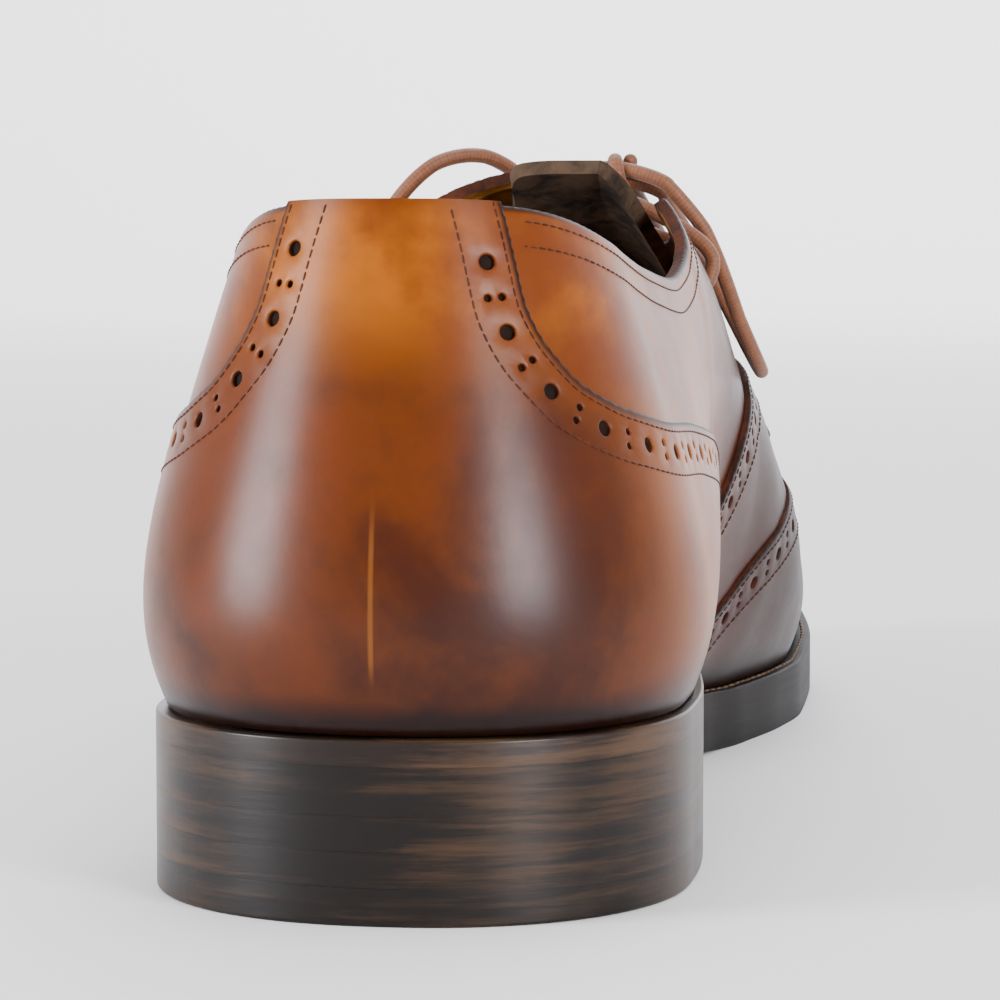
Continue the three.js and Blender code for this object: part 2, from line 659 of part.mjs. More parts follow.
function weltGeometry() {
  const lengths = snapped(stations(0, SOLE_LENGTH, 7, 17, 9), HEEL_LENGTH);
  const inwards = (y) => {
    const start = footStart + WELT_TUCK;
    const end = footEnd - WELT_TUCK;
    return start + (y / SOLE_LENGTH) * (end - start);
  };
  const ring = (inner, lift) =>
    inner
      ? outline(lengths.map(inwards), (y) => footInset(y) + WELT_TUCK, (y) => outsoleTop(y) + lift, (y) => toSole(y, footStart + WELT_TUCK, footEnd - WELT_TUCK))
      : outline(lengths, () => 0, (y) => outsoleTop(y) + lift);
  const [low, high] = [seam, seam + WELT_THICKNESS];
  const round = [ring(false, low), ring(false, high), ring(true, high), ring(true, low), ring(false, low)];
  const triangles = [];
  round.slice(1).forEach((next, i) => {
    triangles.push(...gridTriangles([round[i].inner, next.inner], true));
    triangles.push(...gridTriangles([round[i].outer, next.outer], false));
  });
  return fromTriangles(triangles);
}

function insoleGeometry() {
  const inset = WALL + INSOLE_GAP;
  const start = footStart + inset;
  const end = footEnd - inset;
  const lengths = stations(start, end, 6, 12, 7);
  const ring = (lift) =>
    outline(lengths, (y) => footInset(y) + inset, (y) => footHeight(y) + lift, (y) => toSole(y, start, end));
  return fromTriangles(plateTriangles([ring(0), ring(INSOLE_THICKNESS)]));
}

// The upper: one hollow wall, and the counter, vamp and wing cap laid on it

const netRises = [0, 0.07, 0.16, 0.27, 0.38, 0.49, 0.59, 0.68, 0.77, 0.85, 0.93, 1];
const evenFeet = snapped(stations(footStart, footEnd, 8, 17, 9), THROAT_AT * SOLE_LENGTH);
const netFeet = evenFeet.flatMap((foot, i) => {
  const share = foot / SOLE_LENGTH;
  const rising = share > 0.34 && share < 0.42;
  return rising ? [foot, (foot + evenFeet[i + 1]) / 2] : [foot];
});

const upperGeometry = () => leather(patchesBetween(-WALL, 0, []));
const overlayGeometry = (...distances) => leather(patchesBetween(seam, seam + OVERLAY_THICKNESS, distances));

const pastVampEdge = (foot, rise) => foot - vampEdge(rise) * SOLE_LENGTH;
const pastWingEdge = (foot, rise) => foot - wingEdge(rise) * SOLE_LENGTH;
const underCounterEdge = (foot, rise) => (counterEdge(foot / SOLE_LENGTH) - rise) * BACK_HEIGHT;

const counterGeometry = () => overlayGeometry(underCounterEdge);
const vampGeometry = () => overlayGeometry(pastVampEdge, (foot, rise) => -OVERLAY_GAP - pastWingEdge(foot, rise));
const wingCapGeometry = () => overlayGeometry(pastWingEdge);

// The tongue, under the facings and a little above them.
function tongueGeometry() {
  const high = -(WALL + TONGUE_GAP);
  const [top, end] = [TONGUE_TOP_AT * SOLE_LENGTH, TONGUE_END_AT * SOLE_LENGTH];
  const apart = 0.01 * SOLE_LENGTH;
  const feet = [top, ...netFeet.filter((foot) => foot > top + apart && foot < end - apart), end];
  const row = (foot) => {
    const narrowed = THREE.MathUtils.lerp(TONGUE_TOP_SHARE, 1, clamp((foot - top) / TONGUE_TAPER, 0, 1));
    const half = (side) => {
      const start = downWall(side, foot, 1, TONGUE_HALF_WIDTH * narrowed);
      return crowded(4, { end: true }).map((share) => {
        const t = THREE.MathUtils.lerp(start, 1, share);
        return { high: onWall(side, foot, t, high), low: onWall(side, foot, t, high - TONGUE_THICKNESS) };
      });
    };
    return [...half(INNER), ...half(OUTER).reverse()];
  };
  const rows = feet.map(row);
  const patches = [];
  for (let i = 0; i + 1 < rows.length; i += 1) {
    for (let j = 0; j + 1 < rows[i].length; j += 1) {
      const [a, b, c, d] = [rows[i][j], rows[i + 1][j], rows[i + 1][j + 1], rows[i][j + 1]];
      patches.push([a, b, c], [a, c, d]);
    }
  }
  return leather(patches);
}

// The lace: a straight bar over each pair of eyelets, and the bow on the top one

const laceRadius = LACE_DIAMETER / 2;
const eyeletFoot = (row) => (FIRST_EYELET_AT + row * EYELET_PITCH_SHARE) * SOLE_LENGTH;

function barGeometry(row) {
  const foot = eyeletFoot(row);
  const side = (which) => {
    const end = wallEnd(wallAt(which, foot));
    const lengths = [1, 0.66, 0.33].map((share) => share * EYELET_INSET);
    return lengths.map((length) => onWall(which, foot, downWall(which, foot, end, length), laceRadius + LACE_LIFT));
  };
  const inner = side(INNER);
  const outer = side(OUTER);
  const top = onWall(INNER, foot, 1, laceRadius + LACE_LIFT);
  return cordGeometry([...inner, top, ...outer.reverse()], LACE_DIAMETER, 8);
}

const bowPath = (rows) => rows.map(({ side, at, t, lift }) => onWall(side, at * SOLE_LENGTH, t, lift));
const bowGeometry = (rows, diameter, steps) => cordGeometry(bowPath(rows), diameter, steps);

const shoe = new THREE.Group();
const leatherLook = { color: 0x9a5512, roughness: 0.32, metalness: 0 };
const soleLook = { color: 0x3d2c20, roughness: 0.55, metalness: 0 };
const darkLook = { color: 0x171310, roughness: 0.5, metalness: 0 };
const laceLook = { color: 0x8a5a34, roughness: 0.7, metalness: 0 };
const insoleLook = { color: 0xa67c48, roughness: 0.7, metalness: 0 };

function addPiece(name, geometry, look) {
  const mesh = new THREE.Mesh(geometry, new THREE.MeshStandardMaterial(look));
  mesh.name = name;
  shoe.add(mesh);
  return mesh;
}

addPiece("heel_top_piece", heelPiece(0, TOP_PIECE_THICKNESS), darkLook);
for (let i = 0; i < HEEL_LIFT_COUNT; i += 1) {
  const low = TOP_PIECE_THICKNESS + i * HEEL_LIFT_THICKNESS;
  addPiece(`heel_lift_${i + 1}`, heelPiece(low, low + HEEL_LIFT_THICKNESS), soleLook);
}
addPiece("outsole", outsoleGeometry(), soleLook);
addPiece("welt", weltGeometry(), soleLook);
addPiece("insole", insoleGeometry(), insoleLook);
addPiece("upper", upperGeometry(), leatherLook);
addPiece("counter", counterGeometry(), leatherLook);
addPiece("vamp", vampGeometry(), leatherLook);
addPiece("wing_cap", wingCapGeometry(), leatherLook);
addPiece("tongue", tongueGeometry(), leatherLook);
for (let row = 0; row < EYELET_ROWS; row += 1) addPiece(`lace_bar_${row + 1}`, barGeometry(row), laceLook);

// The origin: on the floor, in the middle of the shoe's box. The bow isn't counted in it.
const box = new THREE.Box3().setFromObject(shoe);
const centre = box.getCenter(new THREE.Vector3());

addPiece("lace_knot", bowGeometry(BOW.knot, KNOT_DIAMETER, 3), laceLook);
addPiece("lace_loop_outer", bowGeometry(BOW.outer_loop, LACE_DIAMETER, 18), laceLook);
addPiece("lace_loop_inner", bowGeometry(BOW.inner_loop, LACE_DIAMETER, 16), laceLook);
addPiece("lace_end_outer", bowGeometry(BOW.outer_end, LACE_DIAMETER, 11), laceLook);
addPiece("lace_end_inner", bowGeometry(BOW.inner_end, LACE_DIAMETER, 11), laceLook);
for (const mesh of shoe.children) mesh.geometry.translate(-centre.x, -centre.y, 0);

export default shoe;
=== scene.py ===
"""A left brogue shoe of burnished tan leather, dressed over its packed construction model.

Every leather piece lies on one surface, the outside of the last with the upper on it. A point of
that surface is named by its side, by the place along the shoe where its wall starts at the sole
(foot, in mm from the back of the sole) and by how far up the wall it lies (rise, 0 to 1).
Sizes here are millimetres in the shoe's own frame, and become metres where a mesh is made.
"""

import logging
import math
from dataclasses import dataclass, field
from enum import Enum
from functools import cache, partial
from typing import Callable, Iterable, Optional, Sequence

import bpy
import numpy as np
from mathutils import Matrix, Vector, kdtree
from mathutils.geometry import delaunay_2d_cdt

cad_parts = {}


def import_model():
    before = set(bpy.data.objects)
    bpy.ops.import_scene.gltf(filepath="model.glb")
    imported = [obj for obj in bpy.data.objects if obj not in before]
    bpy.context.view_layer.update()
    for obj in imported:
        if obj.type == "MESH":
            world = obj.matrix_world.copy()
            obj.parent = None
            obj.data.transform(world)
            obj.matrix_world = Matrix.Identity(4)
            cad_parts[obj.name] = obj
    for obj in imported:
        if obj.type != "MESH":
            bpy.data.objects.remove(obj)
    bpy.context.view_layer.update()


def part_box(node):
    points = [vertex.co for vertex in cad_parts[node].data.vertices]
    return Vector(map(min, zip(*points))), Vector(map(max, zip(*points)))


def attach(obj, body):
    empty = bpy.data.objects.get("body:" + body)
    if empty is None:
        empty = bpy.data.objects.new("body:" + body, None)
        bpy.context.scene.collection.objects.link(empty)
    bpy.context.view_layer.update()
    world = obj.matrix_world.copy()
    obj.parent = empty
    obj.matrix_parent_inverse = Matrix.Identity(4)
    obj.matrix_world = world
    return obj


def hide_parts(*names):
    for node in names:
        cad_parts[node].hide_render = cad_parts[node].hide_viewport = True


LOG = logging.getLogger("brogue")
MM = 0.001
BODY = "root"
SHARP = math.radians(58)
MERGE = 0.01


class Side(Enum):
    """The two sides of the shoe, as the sign of X."""

    INNER = 1
    OUTER = -1


class Curve:
    """A smooth line through a table's rows that never swings past them (monotone cubic)."""

    def __init__(self, at: Sequence[float], value: Sequence[float]) -> None:
        """Works out the slope at each row.

        Args:
            at: where the rows lie, rising.
            value: the value at each row.
        """
        self.at = np.array(at, float)
        self.value = np.array(value, float)
        rate = np.diff(self.value) / np.diff(self.at)
        slope = np.zeros(len(self.at))
        steady = rate[:-1] * rate[1:] > 0
        both = np.where(steady, rate[:-1] + rate[1:], 1.0)
        slope[1:-1] = np.where(steady, 2 * rate[:-1] * rate[1:] / both, 0)
        slope[0] = rate[0]
        slope[-1] = rate[-1]
        self.slope = slope

    def __call__(self, x: np.ndarray) -> np.ndarray:
        """The value at x, held at the first and last rows outside the table.

        Args:
            x: where the values are wanted.

        Returns:
            The values.
        """
        x = np.clip(np.asarray(x, float), self.at[0], self.at[-1])
        i = np.clip(np.searchsorted(self.at, x, side="right") - 1, 0, len(self.at) - 2)
        width = self.at[i + 1] - self.at[i]
        t = (x - self.at[i]) / width
        rest = 1 - t
        start = self.value[i] * (1 + 2 * t) * rest**2 + self.slope[i] * width * t * rest**2
        end = self.value[i + 1] * (3 - 2 * t) * t**2 - self.slope[i + 1] * width * t**2 * rest
        return start + end


def smooth(x: np.ndarray, low: float, high: float) -> np.ndarray:
    """A soft step from 0 at low to 1 at high.

    Args:
        x: the numbers.
        low: where the step starts.
        high: where it ends.

    Returns:
        The steps, 0 to 1.
    """
    t = np.clip((np.asarray(x, float) - low) / (high - low), 0, 1)
    return t * t * (3 - 2 * t)


def columns(at: Sequence[float], **named: Sequence[float]) -> dict[str, Curve]:
    """A curve for each named column over the same rows."""
    return {name: Curve(at, values) for name, values in named.items()}


SOLE_PLAN = columns(
    (0, 0.14, 0.25, 0.345, 0.445, 0.51, 0.56, 0.62, 0.68, 0.75, 0.83, 0.91, 1),
    forepart=(0, 0, 0, 0.3, 0.7, 0.9, 1, 1, 1, 1, 1, 1, 1),
    inner=(0.49, 0.5, 0.455, 0.31, 0.245, 0.265, 0.3, 0.342, 0.363, 0.36, 0.343, 0.325, 0.32),
    outer=(0.49, 0.5, 0.48, 0.42, 0.4, 0.455, 0.53, 0.607, 0.637, 0.61, 0.535, 0.465, 0.42),
)
SOLE_LINE = columns(
    (0, 0.245, 0.3, 0.35, 0.4, 0.45, 0.5, 0.55, 0.67, 0.74, 0.82, 0.9, 1),
    heel=(1, 1, 0.9, 0.7, 0.44, 0.2, 0.05, 0, 0, 0, 0, 0, 0),
    spring=(0, 0, 0, 0, 0, 0, 0, 0, 0, 0.07, 0.25, 0.55, 1),
)
CREST = columns(
    (0, 0.2, 0.3, 0.36, 0.42, 0.46, 0.51, 0.56, 0.61, 0.66, 0.71, 0.76, 0.81, 0.865, 0.93, 1),
    height=(1.18, 1.18, 1.14, 1.075, 1, 0.938, 0.864, 0.79, 0.715, 0.645, 0.585, 0.54, 0.5, 0.463,
            0.43, 0.4),
    shift=(0, 0, 0.5, 0.85, 0.98, 1, 1, 1, 0.95, 0.85, 0.68, 0.5, 0.32, 0.15, 0, -0.1),
    cone=(1, 1, 0.7, 0.26, 0, 0, 0, 0, 0, 0, 0, 0, 0, 0, 0, 0),
)
SECTION = columns(
    (0, 0.12, 0.25, 0.36, 0.45, 0.52, 0.59, 0.67, 0.76, 0.88, 1),
    round=(1.62, 1.62, 1.2, 0.8, 0.62, 0.62, 0.7, 0.8, 0.88, 0.88, 0.87),
    flat=(1, 1, 1, 1, 1, 0.98, 0.95, 0.91, 0.85, 0.8, 0.76),
    inner=(1, 1, 1.25, 2.8, 3.5, 3.1, 2.3, 1, 0.5, 0.42, 0.4),
    outer=(1, 1, 0.82, 0.8, 0.85, 0.85, 0.8, 0.7, 0.5, 0.42, 0.4),
    peak=(0.2, 0.2, 0.33, 0.58, 0.64, 0.57, 0.44, 0.3, 0.3, 0.3, 0.3),
    spread=(5.5, 5.5, 3.6, 2.1, 1.8, 2, 2.8, 4, 4, 4, 4),
)
TOPLINE = columns(
    (0, 0.03, 0.06, 0.12, 0.19, 0.26, 0.32, 0.37, 0.41, 0.45),
    inner=(1, 0.998, 0.988, 0.94, 0.895, 0.875, 0.895, 0.96, 1.06, 1.2),
    outer=(1, 0.998, 0.988, 0.93, 0.875, 0.85, 0.875, 0.95, 1.055, 1.2),
)
COUNTER_EDGE = Curve(
    (0, 0.02, 0.0265, 0.029, 0.035, 0.0475, 0.07, 0.1, 0.17, 0.23, 0.28, 0.32, 0.345, 0.36),
    (1.6, 1.3, 0.94, 0.76, 0.675, 0.605, 0.572, 0.565, 0.585, 0.575, 0.5, 0.36, 0.2, -0.05),
)
VAMP_EDGE = Curve((0, 0.2, 0.4, 0.6, 0.8, 0.92, 1), (0.385, 0.41, 0.465, 0.54, 0.612, 0.637, 0.645))
WING_EDGE = Curve(
    (0, 0.15, 0.35, 0.55, 0.72, 0.82, 0.91, 1),
    (0.44, 0.5, 0.6, 0.685, 0.735, 0.745, 0.725, 0.695),
)


@dataclass(frozen=True)
class Wall:
    """One wall of the upper, or many at once, from its foot at the sole to the crest."""

    side: np.ndarray
    foot: np.ndarray
    foot_x: np.ndarray
    foot_z: np.ndarray
    top_x: np.ndarray
    top_y: np.ndarray
    bulge: np.ndarray
    peak: np.ndarray
    spread: np.ndarray
    round: np.ndarray
    flat: np.ndarray
    out_x: np.ndarray
    out_y: np.ndarray


@dataclass(frozen=True)
class Last:
    """The shape that the shoe is made over, in millimetres from the back of the sole."""

    sole_length: float = 304
    ball_width: float = 100
    heel_width: float = 72.5
    heel_length: float = 73
    top_piece: float = 5
    lift: float = 4.6
    lifts: int = 2
    outsole: float = 6
    welt: float = 3.5
    toe_spring: float = 11
    instep_height: float = 95
    back_height: float = 92
    seam: float = 0.3
    heel_round: float = 37
    toe_round: float = 74
    heel_power: float = 2.2
    toe_power: float = 2.15
    toe_swing: float = -2
    crest_shift: float = 12
    cone_half: float = 13.5
    back_lean: float = 15
    toe_box: float = 36
    heel_edge: float = 2.4
    toe_edge: float = 4.4
    bulge: float = 3.8
    throat_at: float = 0.63
    throat_gap: float = 4
    throat_end_gap: float = 1.6

    @property
    def foot_start(self) -> float:
        """Where the wall's foot starts, at the back."""
        return self.heel_edge

    @property
    def foot_end(self) -> float:
        """Where the wall's foot ends, at the tip."""
        return self.sole_length - self.toe_edge

    @property
    def heel_stack(self) -> float:
        """The height of the heel under the outsole."""
        return self.top_piece + self.lifts * self.lift

    def rounding(self, y: np.ndarray) -> np.ndarray:
        """How much of the full width is left at y, where the heel or the toe is rounded.

        Args:
            y: places along the sole.

        Returns:
            A share of the width, 0 to 1.
        """
        back = np.clip((self.heel_round - y) / self.heel_round, 0, 1)
        front = np.clip((y - self.sole_length + self.toe_round) / self.toe_round, 0, 1)
        heel = (1 - back**self.heel_power) ** (1 / self.heel_power)
        toe = (1 - front**self.toe_power) ** (1 / self.toe_power)
        return heel * toe

    def edge_x(self, side: np.ndarray, y: np.ndarray, inset: np.ndarray) -> np.ndarray:
        """The sole's edge at y, drawn in by inset.

        Args:
            side: 1 for the inner side and -1 for the outer one.
            y: places along the sole.
            inset: how far inside the edge.

        Returns:
            The x of each.
        """
        at = y / self.sole_length
        middle = self.toe_swing * smooth(at, 0.55, 1)
        forepart = SOLE_PLAN["forepart"](at)
        rules = self.heel_width + (self.ball_width - self.heel_width) * forepart
        share = np.where(side > 0, SOLE_PLAN["inner"](at), SOLE_PLAN["outer"](at))
        return middle + (side * share * rules - middle - side * inset) * self.rounding(y)

    def to_sole(self, y: np.ndarray, start: float, end: float) -> np.ndarray:
        """From a length along an inset outline to the sole's own."""
        return (y - start) / (end - start) * self.sole_length

    def underside(self, y: np.ndarray) -> np.ndarray:
        """The height of the outsole's underside."""
        at = np.clip(np.asarray(y, float) / self.sole_length, 0, 1)
        return self.heel_stack * SOLE_LINE["heel"](at) + self.toe_spring * SOLE_LINE["spring"](at)

    def outsole_top(self, y: np.ndarray) -> np.ndarray:
        """The height of the outsole's upper face."""
        return self.underside(y) + self.outsole

    def foot_height(self, y: np.ndarray) -> np.ndarray:
        """The height at which the upper stands, on the welt."""
        return self.outsole_top(y) + 2 * self.seam + self.welt

    def foot_inset(self, y: np.ndarray) -> np.ndarray:
        """How far the wall's foot lies in from the sole's edge."""
        length = self.sole_length
        return self.heel_edge + (self.toe_edge - self.heel_edge) * smooth(y, 0.3 * length, 0.55 * length)

    def wall(self, side: np.ndarray, foot: np.ndarray) -> Wall:
        """The walls that start at these places along the sole.

        Args:
            side: 1 for the inner side and -1 for the outer one.
            foot: where each wall starts along the sole.

        Returns:
            The walls.
        """
        length = self.sole_length
        foot = np.clip(np.asarray(foot, float), self.foot_start, self.foot_end)
        side = np.broadcast_to(np.asarray(side, float), foot.shape)
        sole_y = self.to_sole(foot, self.foot_start, self.foot_end)
        lean = self.back_lean * (1 - smooth(foot, 0, 0.22 * length))
        forward = np.clip((foot - 0.7 * length) / (self.foot_end - 0.7 * length), 0, 1)
        top_y = foot + lean - self.toe_box * forward**1.6
        at, foot_at = top_y / length, foot / length
        before = np.clip(sole_y - 0.5, 0, length)
        after = np.clip(sole_y + 0.5, 0, length)
        slope = self.edge_x(side, after, 0) - self.edge_x(side, before, 0)
        out_x, out_y = side * (after - before), -side * slope
        size = np.hypot(out_x, out_y)
        back, tip = foot <= self.foot_start, foot >= self.foot_end
        out_x = np.where(back | tip, 0, out_x / size)
        out_y = np.where(back, -1, np.where(tip, 1, out_y / size))
        cone = CREST["cone"](at) * self.cone_half * self.rounding(sole_y)
        swell = np.where(side > 0, SECTION["inner"](foot_at), SECTION["outer"](foot_at))
        return Wall(
            side=side,
            foot=foot,
            foot_x=self.edge_x(side, sole_y, self.foot_inset(foot)),
            foot_z=self.foot_height(foot),
            top_x=CREST["shift"](at) * self.crest_shift + side * cone,
            top_y=top_y,
            bulge=self.bulge * swell,
            peak=SECTION["peak"](foot_at),
            spread=SECTION["spread"](foot_at),
            round=SECTION["round"](foot_at),
            flat=SECTION["flat"](foot_at),
            out_x=out_x,
            out_y=out_y,
        )

    def point(self, wall: Wall, t: np.ndarray) -> np.ndarray:
        """Points of walls, t from 0 at the foot to 1 at the crest, as rows of x, y, z.

        Args:
            wall: the walls.
            t: how far up each, to the crest.

        Returns:
            Rows of x, y, z in millimetres.
        """
        t = np.clip(t, 0, 1)
        turn = t * math.pi / 2
        across = 1 - np.maximum(np.cos(turn), 0) ** wall.round
        up = np.sin(turn) ** wall.flat

        def swelling(u: np.ndarray) -> np.ndarray:
            """How much of the bulge there is at u."""
            return u ** (wall.peak * wall.spread) * (1 - u) ** ((1 - wall.peak) * wall.spread)

        swell = wall.bulge * swelling(np.clip(up, 0, 1)) / swelling(wall.peak)
        x = wall.foot_x + (wall.top_x - wall.foot_x) * across + swell * wall.out_x
        y = wall.foot + (wall.top_y - wall.foot) * across + swell * wall.out_y
        crest = self.instep_height * CREST["height"](y / self.sole_length)
        return np.stack([x, y, wall.foot_z + (crest - wall.foot_z) * up], axis=-1)

    def wall_end(self, wall: Wall) -> np.ndarray:
        """The t at which walls reach their upper edge, read from a fine table.

        Args:
            wall: the walls.

        Returns:
            A t for each wall.
        """
        feet, ends = wall_ends(self)
        inner, outer = (np.interp(wall.foot, feet, ends[side]) for side in Side)
        return np.where(wall.side > 0, inner, outer)

    def found_end(self, wall: Wall) -> np.ndarray:
        """The t at which walls reach the topline, or the facing's edge, or the crest.

        Args:
            wall: the walls.

        Returns:
            A t for each wall.
        """
        inner = (wall.side > 0) | (wall.foot <= self.foot_start)

        def over(t: np.ndarray) -> np.ndarray:
            """How far above the topline the point at t lies.

            Args:
                t: how far up each wall.

            Returns:
                Millimetres, below 0 under the topline.
            """
            p = self.point(wall, t)
            at = p[..., 1] / self.sole_length
            return p[..., 2] - self.back_height * np.where(inner, TOPLINE["inner"](at), TOPLINE["outer"](at))

        low = np.full(wall.foot.shape, 0.2)
        high = np.ones(wall.foot.shape)
        low = np.where(over(high) <= 0, 1, low)
        for _ in range(32):
            middle = (low + high) / 2
            above = over(middle) > 0
            high = np.where(above, middle, high)
            low = np.where(above, low, middle)
        throat = self.throat_at * self.sole_length
        opened = np.clip((throat - wall.foot) / (throat - 0.42 * self.sole_length), 0, 1)
        gap = self.throat_end_gap + (self.throat_gap - self.throat_end_gap) * opened
        gap = gap * np.minimum(1, np.sqrt(opened * 12))
        share = np.clip(gap / np.maximum(np.abs(wall.foot_x - wall.top_x), 0.01), 0, 1)
        facing = 2 / math.pi * np.arccos(share ** (1 / wall.round))
        end = np.where(wall.foot < 0.3 * self.sole_length, high, np.minimum(high, facing))
        return np.where(wall.foot >= throat, 1, end)

    def on_wall(self, side: np.ndarray, foot: np.ndarray, t: np.ndarray,
                offset: np.ndarray = 0) -> np.ndarray:
        """Points with t measured to the crest, moved outwards by offset.

        Args:
            side: 1 for the inner side and -1 for the outer one.
            foot: the places along the sole.
            t: how far up, to the crest.
            offset: how far outwards.

        Returns:
            Rows of x, y, z in millimetres.
        """
        foot = np.clip(np.asarray(foot, float), self.foot_start, self.foot_end)
        side = np.broadcast_to(np.asarray(side, float), foot.shape)
        t = np.clip(np.broadcast_to(np.asarray(t, float), foot.shape), 0, 1)
        wall = self.wall(side, foot)
        point = self.point(wall, t)
        step, length = 0.01, 0.6
        up = self.point(wall, np.minimum(t + step, 1)) - self.point(wall, np.maximum(t - step, 0))
        ahead = self.wall(side, np.minimum(foot + length, self.foot_end))
        behind = self.wall(side, np.maximum(foot - length, self.foot_start))
        along = self.point(ahead, t) - self.point(behind, t)
        normal = np.cross(along, up) * side[..., None]
        zero = np.zeros_like(t)
        crest = np.stack([zero, -along[..., 2], along[..., 1]], axis=-1)
        back = np.stack([zero, -up[..., 2], up[..., 1]], axis=-1)
        normal = np.where((t >= 1)[..., None], crest, normal)
        normal = np.where((foot <= self.foot_start)[..., None], back, normal)
        normal = np.where((foot >= self.foot_end)[..., None], -back, normal)
        normal[..., 2] = np.where(t <= 0, 0, normal[..., 2])
        normal /= np.linalg.norm(normal, axis=-1, keepdims=True)
        return point + normal * np.broadcast_to(offset, t.shape)[..., None]

    def surface(self, side: np.ndarray, foot: np.ndarray, rise: np.ndarray,
                offset: np.ndarray = 0) -> np.ndarray:
        """Points with rise measured to the topline, the facing or the crest, moved outwards.

        Args:
            side: 1 for the inner side and -1 for the outer one.
            foot: places along the sole.
            rise: how far up the wall, 0 to 1.
            offset: how far outwards.

        Returns:
            Rows of x, y, z in millimetres.
        """
        foot = np.clip(np.asarray(foot, float), self.foot_start, self.foot_end)
        side = np.broadcast_to(np.asarray(side, float), foot.shape)
        t = rise * self.wall_end(self.wall(side, foot))
        return self.on_wall(side, foot, t, offset)

    def down_wall(self, side: Side, foot: float, start: float, length: float) -> float:
        """The t that lies a length down the wall from another.

        Args:
            side: which side of the shoe.
            foot: the wall's place along the sole.
            start: the t to start from.
            length: how far down, in millimetres.

        Returns:
            The t that is reached.
        """
        t = np.linspace(start, 0.02, 200)
        wall = self.wall(side.value, np.full(t.shape, foot))
        points = self.point(wall, t)
        gone = np.concatenate([[0], np.cumsum(np.linalg.norm(np.diff(points, axis=0), axis=1))])
        return float(np.interp(length, gone, t))

    def spot(self, side: Side, foot: float, t: float, lift: float) -> np.ndarray:
        """One point over a wall, with t measured to the crest."""
        return self.on_wall(side.value, np.array([foot]), t, lift)[0]

    def end_at(self, side: Side, foot: float) -> float:
        """The t at which one wall reaches its upper edge."""
        return float(self.wall_end(self.wall(side.value, np.array([foot])))[0])


@cache
def wall_ends(last: Last) -> tuple[np.ndarray, dict[Side, np.ndarray]]:
    """Where every wall of a last ends: places along the sole, and the t there on each side."""
    feet = np.linspace(last.foot_start, last.foot_end, 4001)
    return feet, {side: last.found_end(last.wall(side.value, feet)) for side in Side}


@cache
def girth(last: Last) -> tuple[np.ndarray, np.ndarray]:
    """Places along the sole and the length of outline that leads to each, the same on both sides.

    Args:
        last: the last.

    Returns:
        The places, and the length up to each.
    """
    turn = np.linspace(0, math.pi, 6001)
    foot = last.foot_start + (last.foot_end - last.foot_start) * (1 - np.cos(turn)) / 2
    inner, outer = (last.wall(side.value, foot).foot_x for side in Side)
    steps = np.hypot(np.diff(foot), np.diff((inner - outer) / 2))
    return foot, np.concatenate([[0], np.cumsum(steps)])


LAST = Last()


@dataclass
class Cut:
    """A flat cut of material: points of the plane and the triangles between them."""

    points: np.ndarray
    triangles: list[list[int]]


def inside(points: np.ndarray, loop: np.ndarray) -> np.ndarray:
    """Which points lie inside a closed outline.

    Args:
        points: rows of x, y.
        loop: the outline's corners, in order.

    Returns:
        True for each point inside.
    """
    found = np.zeros(len(points), bool)
    x, y = points[:, 0], points[:, 1]
    for (x1, y1), (x2, y2) in zip(loop, np.roll(loop, -1, axis=0)):
        crossed = (y1 > y) != (y2 > y)
        if y1 != y2:
            found ^= crossed & (x < (x2 - x1) * (y - y1) / (y2 - y1) + x1)
    return found


def nearest(points: np.ndarray, others: np.ndarray) -> tuple[np.ndarray, np.ndarray]:
    """The distance from each point to the nearest of the others, and which one that is.

    Args:
        points: rows of two or three coordinates.
        others: rows of as many.

    Returns:
        The distances and the indices.
    """
    tree = kdtree.KDTree(len(others))
    for i, other in enumerate(others):
        tree.insert(Vector((*other, 0)[:3]) if len(other) == 2 else Vector(other), i)
    tree.balance()
    away = np.zeros(len(points))
    which = np.zeros(len(points), int)
    for i, point in enumerate(points):
        _, which[i], away[i] = tree.find((*point, 0)[:3] if len(point) == 2 else point)
    return away, which


def cut_out(outline: np.ndarray, holes: Sequence[np.ndarray], spacing: float, extra: np.ndarray) -> Cut:
    """Cuts an outline with holes in it into neat triangles.

    Args:
        outline: the outer corners, in order.
        holes: the corners of each hole, in order.
        spacing: how far apart the points between them lie.
        extra: more points to go through.

    Returns:
        The cut, with no triangle outside the outline or in a hole.
    """
    low, high = outline.min(axis=0), outline.max(axis=0)
    rows = np.arange(low[1], high[1], spacing * 0.87)
    fill = []
    for i, y in enumerate(rows):
        x = np.arange(low[0] + (i % 2) * spacing / 2, high[0], spacing)
        fill.append(np.stack([x, np.full(x.shape, y)], axis=1))
    fill = np.concatenate(fill)
    fill = fill[inside(fill, outline)]
    taken = np.concatenate([outline, extra, *holes])
    away, _ = nearest(fill, taken)
    fill = fill[away > 0.62 * spacing]
    for hole in holes:
        fill = fill[~inside(fill, hole)]
    if len(extra):
        extra = extra[inside(extra, outline)]
    points = [outline]
    edges = [(i, (i + 1) % len(outline)) for i in range(len(outline))]
    start = len(outline)
    for hole in holes:
        points.append(hole)
        edges += [(start + i, start + (i + 1) % len(hole)) for i in range(len(hole))]
        start += len(hole)
    everything = np.concatenate([*points, extra, fill])
    result = delaunay_2d_cdt([Vector(p) for p in everything], edges, [], 1, 1e-5)
    found = np.array([tuple(v) for v in result[0]])
    triangles = np.array([tuple(face) for face in result[2]])
    middles = found[triangles].mean(axis=1)
    kept = inside(middles, outline)
    for hole in holes:
        near = np.abs(middles - hole.mean(axis=0)).max(axis=1) < 8
        kept[np.flatnonzero(near)[inside(middles[near], hole)]] = False
    return Cut(found, triangles[kept].tolist())


